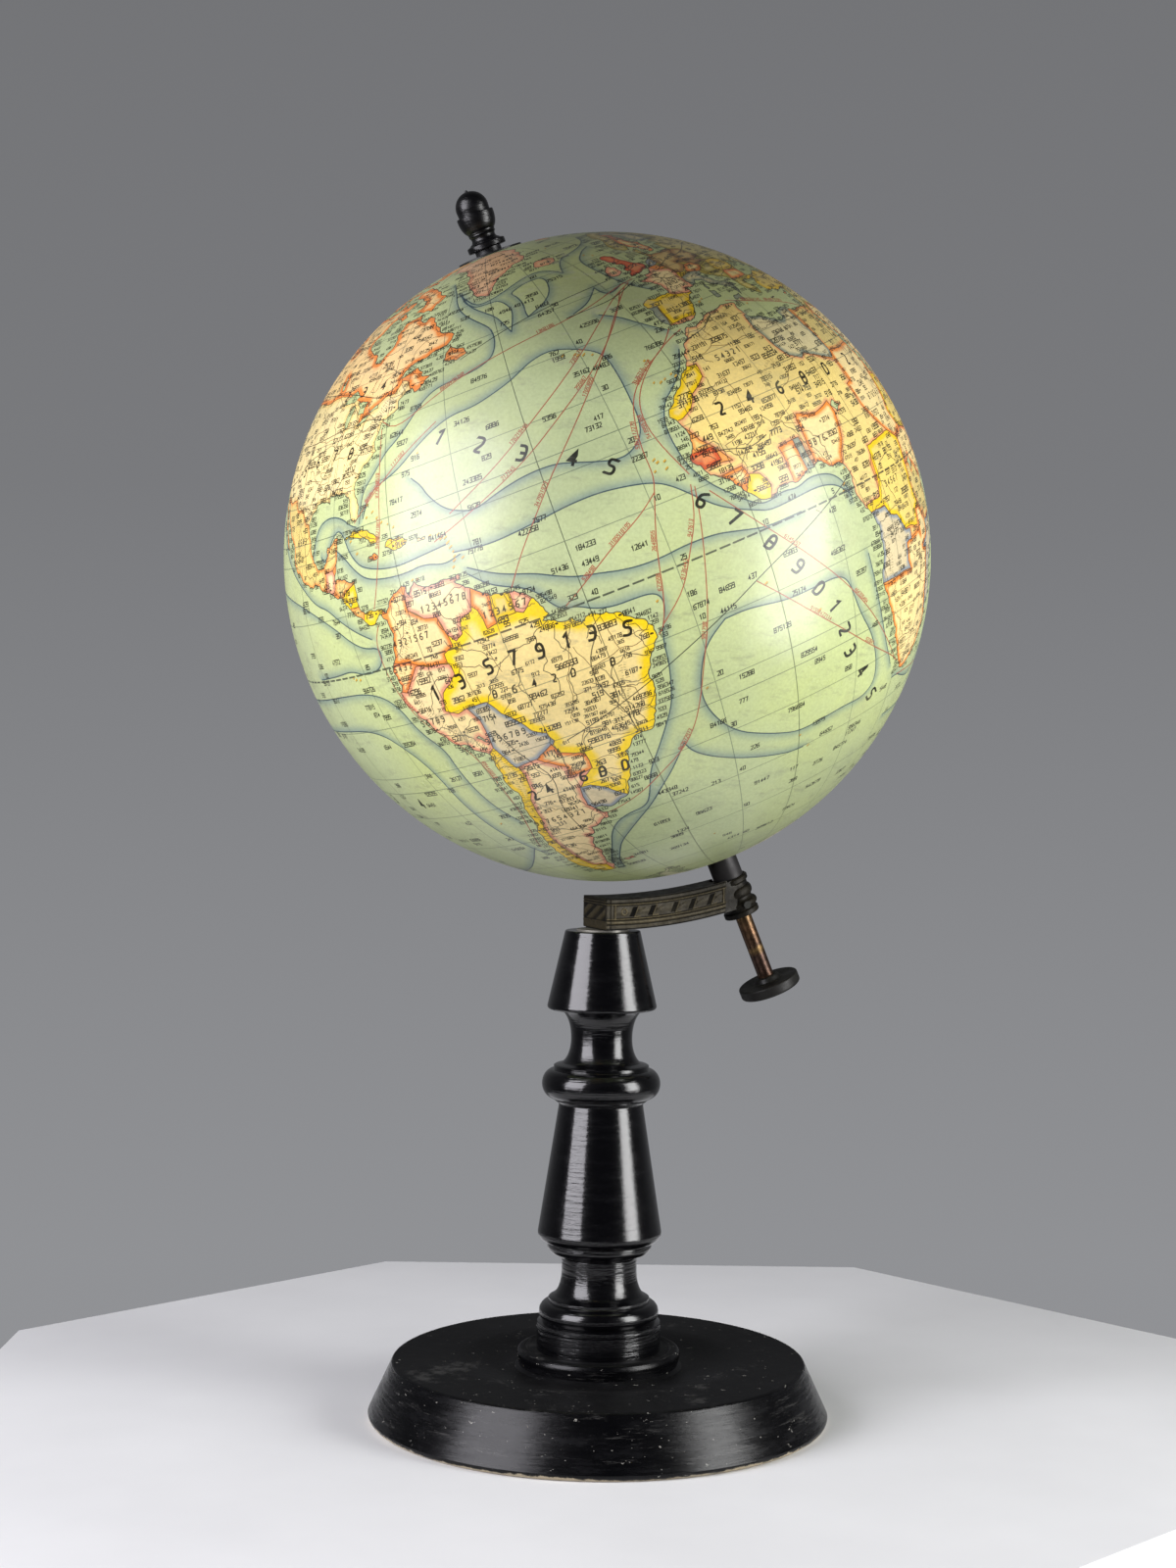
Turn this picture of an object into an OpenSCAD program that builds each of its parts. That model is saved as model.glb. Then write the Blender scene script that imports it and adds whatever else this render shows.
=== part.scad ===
// Table globe on a turned stand: a papered ball on a tilted rod, held by a cast arm

/* [Ball] */
// Radius of the ball over its paper
ball_r = 127.4; // [126:0.1:129]
// Height of the ball's centre over the table
ball_z = 341; // [340:0.5:344]
// Lean of the ball's axis from upright
tilt = 23.45; // [22.5:0.05:24.5]
// Thickness of the pasteboard and plaster shell
shell_t = 3; // [2:0.5:5]
// Thickness of the printed paper
paper_t = 0.3; // [0.2:0.05:0.4]
// Turn of the first paper seam about the ball's axis, from the arm's side
seam_turn = -117.5; // [-180:0.5:180]
// Number of paper gores round the ball
gore_count = 12; // [12:1:12]
// Latitude where the gores end and the pole papers start
gore_end_lat = 80; // [78:1:82]

/* [Base] */
// Radius of the base at its widest, just over the table
base_r = 91.4; // [88:0.1:96]
// Radius of the base at its top rim
base_top_r = 82.5; // [80:0.1:86]
// Height of the base's broad top band
base_h = 23; // [22:0.5:25]
// Depth of the dish round the column
dish_depth = 2.7; // [1:0.1:3]
// Radius of the raised collar that the column stands on
collar_r = 32.6; // [31:0.1:34]

/* [Column] */
// Height of the column's flat top over the table
column_top_z = 194; // [193:0.1:195]
// Radius of the foot of the column
foot_r = 24.7; // [24:0.1:25.5]
// Radius of the tenon that is glued into the base
tenon_r = 9; // [7:0.5:11]

/* [Arm] */
// Height of the arm's section
arm_h = 12.5; // [12:0.5:14]
// Radius of the arm's lower edge, seen from the side
arm_bend_r = 225; // [220:1:230]
// Width of the arm over the column
arm_w_root = 24; // [22:0.5:25]
// Width of the arm where it meets the socket
arm_w_tip = 13; // [12:0.5:14]
// How far the arm reaches past the column's axis at its blunt end
arm_back = 3.4; // [3.2:0.1:5]

/* [Axle] */
// Radius of the rod that carries the ball
rod_r = 3.3; // [3:0.1:3.6]
// Clearance round a turning rod
run_gap = 0.05; // [0.03:0.01:0.08]
// Distance from the ball's centre to the top of the socket
socket_top = 138.1; // [137.6:0.1:139]
// Length of the socket along the rod
socket_l = 16; // [15:0.5:17]
// Distance from the ball's centre to the top face of the wooden knob
knob_top = 183.8; // [182:0.1:190]
// Radius of the wooden knob
knob_r = 12.6; // [11:0.1:14]
// Thickness of the wooden knob's disc
knob_t = 4.6; // [4:0.1:6]

/* [Finial] */
// Radius of the finial's foot
finial_foot_r = 7.6; // [7:0.1:8]
// Radius of the rim of the acorn's cup
cup_r = 7.4; // [7:0.1:7.6]
// Length of the finial
finial_l = 23.4; // [22.8:0.1:24]
// Radius of the thin plate on the north pole
plate_r = 12.85; // [11:0.05:15]

/* [Hidden] */
$fn = 96;
GORES = [for (i = [1:gore_count]) str("gore_", i < 10 ? "0" : "", i)];

black = "#15161a";
bronze = "#3b3a33";
brass = "#8a6238";
steel = "#8d8f94";
sea = "#aebfa4";
board = "#a89a80";
bare_wood = "#b8956a";

glue_gap = 0.05;
free_gap = 0.35;
washer_t = 0.5;
arm_z = column_top_z + washer_t;
seat_h = 0.3;
arm_top_r = arm_bend_r - arm_h;
arm_reach = 56;
arm_frame = 2.6;
panel_depth = 1.2;
leaf_gap = 0.35;
leaf_starts = [1.4, 9, 17.2, 26.2, 34.8, 42.4];
leaf_l = 6.4;
leaf_lean = 2.6;
panel_x = [0.6, 49];
stud_r = 2;
stud_z = [173, arm_z + 8];
socket_r = 7.5;
bush_r = 4.6;
socket_screw_t = 149.6;
socket_screw_r = 1;
tube_r = 6.15;
tube_bore_r = rod_r + free_gap;
pole_hole_r = 7;
block_r = 18;
block_inner_z = 110;
pillar_r = 9;
pillar_bore_r = 5;
strip_h = 16;
strip_t = 1;
thread_r = 2.5;
thread_start = ball_r + 0.5;
thread_l = 12.4;
nut_r = 3.6;
nut_l = 10.4;
plate_t = 0.6;
plate_hub_r = 5.2;
plate_hub_h = 1.4;
finial_z = ball_r + paper_t + plate_t + plate_hub_h + 0.1;
knob_hub_r = 5.4;
knob_hub_h = 2;
rod_end = knob_top + knob_t - 1.6;
shell_outer = ball_r - paper_t - 0.15;
shell_inner = shell_outer - shell_t;
gore_cut_z = ball_r * sin(gore_end_lat);
gore_step = 360 / gore_count;
seam_gap_deg = 0.03;
tenon_z = 8;
foot_z = 27.2;

// Points on an ellipse's arc in the half plane of radius and height
function arc(cr, cz, rr, rz, a0, a1, n = 10) =
    [for (i = [0:n]) let (a = a0 + (a1 - a0) * i / n) [cr + rr * cos(a), cz + rz * sin(a)]];

// A smooth step from one height to another between two radii
function ramp(r0, z0, r1, z1, n = 12) =
    [for (i = [0:n]) let (u = i / n) [r0 + (r1 - r0) * u, z0 + (z1 - z0) * u * u * (3 - 2 * u)]];

module turned(outline) {
    rotate_extrude() polygon(outline);
}

// The ball's own frame: its centre is the origin and +Z leads to the north pole
module ball_frame() {
    translate([0, 0, ball_z]) rotate([0, -tilt, 0]) children();
}

// A ring of rectangular section, seen along the Y axis, about the centre of the arm's bend
module bend_ring(inner, outer, width) {
    translate([0, 0, arm_z + seat_h + arm_bend_r]) rotate([90, 0, 0]) difference() {
        cylinder(r = outer, h = width, center = true, $fn = 360);
        cylinder(r = inner, h = width + 1, center = true, $fn = 360);
    }
}

// The arm's outline from above, drawn in by an inset on its sides
module arm_plan(inset, x0 = -arm_back, x1 = arm_reach) {
    run = (x1 - x0) / (arm_reach + arm_back);
    skip = (x0 + arm_back) / (arm_reach + arm_back);
    w0 = arm_w_root + (arm_w_tip - arm_w_root) * skip - 2 * inset;
    w1 = arm_w_root + (arm_w_tip - arm_w_root) * (skip + run) - 2 * inset;
    translate([0, 0, arm_z - 5]) linear_extrude(height = 40)
        polygon([[x0, -w0 / 2], [x1, -w1 / 2], [x1, w1 / 2], [x0, w0 / 2]]);
}

module base_plinth() {
    outline = concat(
        [[0, 0]],
        arc(base_r - 2.5, 2.6, 2.5, 2.6, -90, 0, 6),
        arc(base_top_r - 1.6, base_h - 1.6, 1.6, 1.6, 15, 90, 6),
        ramp(collar_r + 25.4, base_h, collar_r + 3.4, base_h - dish_depth),
        [[collar_r + 0.8, base_h - dish_depth + 0.1],
            [collar_r - 0.9, base_h - dish_depth + 1.1]],
        arc(collar_r - 2.6, foot_z - 1.8, 2.6, 2.6, -20, 110, 12),
        [[collar_r - 4.4, foot_z], [tenon_r + glue_gap, foot_z],
            [tenon_r + glue_gap, tenon_z], [0, tenon_z]]);
    color(black) turned(outline);
}

module column() {
    outline = concat(
        [[0, tenon_z + glue_gap], [tenon_r, tenon_z + glue_gap], [tenon_r, foot_z],
            [foot_r, foot_z], [foot_r, 35.9], [24.1, 36.2], [24.1, 36.5], [24.5, 36.8],
            [24.5, 38.1]],
        arc(19.9, 42, 4, 4.2, -48, 80, 14),
        [[20.1, 46.6], [20.1, 47.6]],
        arc(19.4, 58.5, 4.4, 10.2, 262, 180, 14),
        [[15, 63.6]],
        arc(15.4, 68.1, 5.3, 3.4, -85, 0, 8),
        [[20.7, 69.7]],
        arc(20.4, 73.8, 4.2, 3.9, -78, 0, 8),
        [[24.6, 74.3], [16.8, 124.4], [16.7, 124.9], [17.1, 125.2], [18.5, 126.4],
            [18.6, 127]],
        arc(18.9, 133, 4.7, 5.8, -88, 88, 18),
        [[18.95, 139], [18.95, 140.2], [18.3, 140.6]],
        arc(17.4, 150.8, 5.2, 10, 252, 180, 12),
        arc(17.6, 151.2, 5.4, 11.2, 180, 92, 14),
        [[20.6, 162.6]],
        arc(20.7, 163.9, 1.1, 1.2, -80, 10, 6),
        arc(14.3, column_top_z - 0.8, 0.8, 0.8, 10, 90, 5),
        [[0, column_top_z]]);
    color(black) difference() {
        turned(outline);
        translate([0, 0, stud_z[0]]) cylinder(r = stud_r + glue_gap, h = 40);
    }
}

// Raised slanting leaves in the arm's two side panels
module arm_leaves() {
    intersection() {
        bend_ring(arm_top_r + arm_frame + leaf_gap, arm_bend_r - arm_frame - leaf_gap, 40);
        arm_plan(leaf_gap);
        union() for (x = leaf_starts)
            translate([0, 0, arm_z]) rotate([90, 0, 0])
                linear_extrude(height = 40, center = true)
                    polygon([[x, 0], [x + leaf_l, 0], [x + leaf_l + leaf_lean, 22],
                        [x + leaf_lean, 22]]);
    }
}

// Socket with its ring mouldings, in the ball's frame
module socket_body() {
    low = -(socket_top + socket_l);
    outline = concat(
        [[0, low], [socket_r - 0.4, low], [socket_r - 0.2, low + 0.3],
            [socket_r - 0.2, low + 1.9], [socket_r - 0.8, low + 2.5]],
        arc(socket_r - 0.9, low + 4.5, 1.3, 1.5, -80, 80, 9),
        [[socket_r - 1.1, low + 6.6], [socket_r - 1.1, low + 7.3]],
        arc(socket_r - 1.3, low + 9.6, 1.3, 2.1, -80, 80, 8),
        [[socket_r - 1, low + 12.2], [socket_r - 1, low + 13.2], [socket_r - 0.1, low + 14],
            [socket_r, low + 15.4], [socket_r - 0.5, low + socket_l], [0, low + socket_l]]);
    turned(outline);
}

// Solid bar of the arm, with a flat seat for the column's washer
module arm_blank() {
    intersection() {
        bend_ring(arm_top_r, arm_bend_r, 60);
        arm_plan(0);
    }
    intersection() {
        translate([0, 0, arm_z]) cylinder(r = 10.3, h = 3);
        arm_plan(0);
    }
}

// What is cut from the arm's sides to leave framed panels of leaves
module arm_pockets() {
    difference() {
        intersection() {
            bend_ring(arm_top_r + arm_frame, arm_bend_r - arm_frame, 50);
            arm_plan(-3, panel_x[0], panel_x[1]);
        }
        arm_plan(panel_depth);
        arm_leaves();
    }
}

module arm_bar() {
    difference() {
        arm_blank();
        arm_pockets();
        ball_frame() translate([0, 0, -socket_top]) cylinder(r = socket_r + 0.6, h = 20);
    }
}

// Arm and socket in one casting, bored for the bush
module bored_casting() {
    difference() {
        union() {
            arm_bar();
            ball_frame() socket_body();
        }
        ball_frame() translate([0, 0, -socket_top - socket_l - 1])
            cylinder(r = bush_r + glue_gap, h = socket_l + 30);
    }
}

module arm_bracket() {
    color(bronze) difference() {
        bored_casting();
        ball_frame() translate([0, 0, -socket_screw_t]) rotate([90, 0, 0])
            cylinder(r = socket_screw_r + glue_gap, h = 20);
        translate([0, 0, arm_z - 1]) cylinder(r = stud_r + glue_gap, h = stud_z[1] - arm_z + 1.2);
    }
}

module arm_stud() {
    color(steel) translate([0, 0, stud_z[0] + 0.2]) cylinder(r = stud_r, h = stud_z[1] - stud_z[0] - 0.2);
}

module arm_washer() {
    color("#b9b6ab") translate([0, 0, column_top_z]) difference() {
        cylinder(r = 10.4, h = washer_t);
        translate([0, 0, -1]) cylinder(r = stud_r + 0.1, h = washer_t + 2);
    }
}

module socket_bush() {
    color(brass) ball_frame() translate([0, 0, -socket_top - socket_l]) difference() {
        cylinder(r = bush_r, h = socket_l);
        translate([0, 0, -1]) cylinder(r = rod_r + run_gap, h = socket_l + 2);
    }
}

// Small screw through the socket's wall that keeps the bush from turning
module socket_screw() {
    color(steel) ball_frame() translate([0, 0, -socket_screw_t]) rotate([90, 0, 0]) {
        translate([0, 0, bush_r + glue_gap]) cylinder(r = socket_screw_r, h = 3.6);
        translate([0, 0, socket_r + 0.5]) cylinder(r = 1.5, h = 0.7);
    }
}

// Loose tube that keeps the ball off the socket
module spacer_tube() {
    color(bronze) ball_frame() translate([0, 0, -socket_top]) difference() {
        cylinder(r = tube_r, h = socket_top - ball_r - free_gap);
        translate([0, 0, -1]) cylinder(r = tube_bore_r, h = 20);
    }
}

module axle_rod() {
    color(brass) ball_frame() {
        translate([0, 0, -rod_end]) cylinder(r = rod_r, h = rod_end + thread_start);
        translate([0, 0, thread_start - 1]) cylinder(r = thread_r, h = thread_l + 1);
    }
}

module knob() {
    top = -knob_top;
    low = top - knob_t;
    outline = concat(
        [[0, low - 0.5], [5, low - 0.4]],
        arc(knob_r - 1.2, low + 1.1, 1.2, 1.1, -80, 0, 5),
        arc(knob_r - 0.7, top - 0.8, 0.7, 0.8, 10, 90, 5),
        [[knob_hub_r + 1, top - 0.2], [knob_hub_r + 0.2, top + 0.2],
            [knob_hub_r - 0.6, top + knob_hub_h - 0.3], [knob_hub_r - 1.1, top + knob_hub_h],
            [0, top + knob_hub_h]]);
    color("#26241f") ball_frame() difference() {
        turned(outline);
        translate([0, 0, -rod_end - glue_gap]) cylinder(r = rod_r + glue_gap, h = 20);
    }
}

module finial() {
    z = finial_z;
    tip = z + finial_l;
    outline = concat(
        [[0, z], [finial_foot_r - 0.2, z], [finial_foot_r, z + 0.3], [finial_foot_r, z + 2],
            [finial_foot_r - 0.4, z + 2.3], [6.2, z + 2.6]],
        arc(6.6, z + 4.5, 1.85, 1.7, 250, 130, 8),
        [[5.2, z + 6.2], [5.4, z + 6.6]],
        arc(4.4, z + 13, cup_r - 4.4, 6.4, -70, 0, 8),
        [[cup_r, z + 13.6], [cup_r - 0.2, z + 13.9], [6.3, z + 14]],
        arc(0, z + 16.4, 6.45, finial_l - 17, 0, 84, 12),
        [[0.6, tip - 0.4], [0.4, tip], [0, tip]]);
    color(black) ball_frame() difference() {
        turned(outline);
        translate([0, 0, z - 1]) cylinder(r = nut_r + run_gap, h = nut_l + 2.2);
    }
}

module finial_nut() {
    color(brass) ball_frame() translate([0, 0, finial_z + 0.1]) difference() {
        cylinder(r = nut_r, h = nut_l);
        translate([0, 0, -1]) cylinder(r = thread_r + run_gap, h = nut_l + 2);
    }
}

// Thin domed plate on the north pole, with a low hub under the finial
module north_cap_plate() {
    inner = ball_r + glue_gap;
    color(black) ball_frame() difference() {
        union() {
            intersection() {
                sphere(r = inner + plate_t);
                translate([0, 0, ball_r / 2]) cylinder(r = plate_r, h = ball_r);
            }
            translate([0, 0, ball_r]) cylinder(r = plate_hub_r, h = finial_z - 0.1 - ball_r);
        }
        sphere(r = inner);
        translate([0, 0, ball_r / 2]) cylinder(r = tube_bore_r, h = ball_r);
    }
}

module half_shell(side) {
    color(board) ball_frame() difference() {
        intersection() {
            difference() {
                sphere(r = shell_outer);
                sphere(r = shell_inner);
            }
            translate([0, 0, side * ball_r]) cube(2 * ball_r, center = true);
        }
        cylinder(r = pole_hole_r + glue_gap, h = 3 * ball_r, center = true);
    }
}

module ball_upper_half() { half_shell(1); }

module ball_lower_half() { half_shell(-1); }

// Linen strip glued inside over the joint of the two halves
module equator_strip() {
    color("#c9bd9c") ball_frame() difference() {
        cylinder(r = shell_inner - 0.35, h = strip_h, center = true);
        cylinder(r = shell_inner - 0.35 - strip_t, h = strip_h + 2, center = true);
    }
}

// Wooden block inside a pole, with a spigot through the shell's hole
module pole_block(side) {
    color(bare_wood) ball_frame() difference() {
        union() {
            intersection() {
                sphere(r = shell_inner - glue_gap);
                translate([0, 0, side * (block_inner_z + 25)])
                    cylinder(r = block_r, h = 50, center = true);
            }
            intersection() {
                sphere(r = shell_outer);
                translate([0, 0, side * (block_inner_z + 26)])
                    cylinder(r = pole_hole_r, h = 50, center = true);
            }
        }
        cylinder(r = rod_r + run_gap, h = 3 * ball_r, center = true);
    }
}

module north_pole_block() { pole_block(1); }

module south_pole_block() { pole_block(-1); }

// Hollow wooden pillar that keeps the pole blocks apart
module inner_pillar() {
    color(bare_wood) ball_frame() difference() {
        cylinder(r = pillar_r, h = 2 * block_inner_z, center = true);
        cylinder(r = pillar_bore_r, h = 3 * ball_r, center = true);
    }
}

module paper_shell() {
    difference() {
        sphere(r = ball_r);
        sphere(r = ball_r - paper_t);
    }
}

// One printed gore, a pointed strip of paper between two seams
module gore(i) {
    a0 = seam_turn + (i - 1) * gore_step + seam_gap_deg;
    a1 = a0 + gore_step - 2 * seam_gap_deg;
    far = 2 * ball_r;
    color(sea) ball_frame() intersection() {
        paper_shell();
        linear_extrude(height = 2 * gore_cut_z, center = true)
            polygon([[0, 0], [far * cos(a0), far * sin(a0)], [far * cos(a1), far * sin(a1)]]);
    }
}

// Round paper that covers the points of the gores at a pole
module calotte(side) {
    color(sea) ball_frame() intersection() {
        paper_shell();
        translate([0, 0, side * (gore_cut_z + glue_gap + 5)]) difference() {
            cylinder(r = ball_r / 3, h = 10, center = true);
            cylinder(r = tube_bore_r, h = 12, center = true);
        }
    }
}

module calotte_north() { calotte(1); }

module calotte_south() { calotte(-1); }

base_plinth();
column();
arm_bracket();
arm_stud();
arm_washer();
socket_bush();
socket_screw();
spacer_tube();
axle_rod();
knob();
finial();
finial_nut();
north_cap_plate();
ball_upper_half();
ball_lower_half();
equator_strip();
north_pole_block();
south_pole_block();
inner_pillar();
calotte_north();
calotte_south();
for (i = [1:gore_count])
    gore(i);
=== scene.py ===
"""Looks of the table globe: printed map on the ball, turned black stand, cast arm, studio."""
import math

import bmesh
import bpy
import numpy as np
from mathutils import Matrix, Vector
from mathutils.geometry import delaunay_2d_cdt


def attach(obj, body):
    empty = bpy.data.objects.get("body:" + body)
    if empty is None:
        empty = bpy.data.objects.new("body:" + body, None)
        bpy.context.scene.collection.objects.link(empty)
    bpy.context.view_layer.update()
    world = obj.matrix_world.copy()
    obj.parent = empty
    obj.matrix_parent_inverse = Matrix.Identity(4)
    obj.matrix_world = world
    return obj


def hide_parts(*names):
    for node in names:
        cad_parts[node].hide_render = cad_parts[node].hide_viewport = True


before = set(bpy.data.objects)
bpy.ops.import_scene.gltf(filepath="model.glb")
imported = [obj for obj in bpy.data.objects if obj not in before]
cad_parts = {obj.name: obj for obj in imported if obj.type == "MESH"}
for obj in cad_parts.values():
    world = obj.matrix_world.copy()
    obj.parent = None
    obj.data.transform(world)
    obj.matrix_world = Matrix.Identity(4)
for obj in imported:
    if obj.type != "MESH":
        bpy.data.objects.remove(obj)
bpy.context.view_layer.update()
RNG = np.random.default_rng(7)

# The ball and its papers, in millimetres and degrees
BALL_R = 127.4
BALL_Z = 341
TILT = math.radians(23.45)
GREENWICH_TURN = -74.85
FIRST_SEAM = -42.65
GORE_SPAN = 30
GORE_END = 80
SEAM_GAP = 0.03
DEG = BALL_R * math.pi / 180
POLE_PAPER_R = (90 - GORE_END) * DEG
POLE_HOLE_R = 6.2


def linear(hexa):
    """A colour written as six hexadecimal digits, in linear light."""
    c = np.array([int(hexa[i:i + 2], 16) / 255 for i in (0, 2, 4)])
    return np.where(c <= 0.04045, c / 12.92, ((c + 0.055) / 1.055) ** 2.4)


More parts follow.
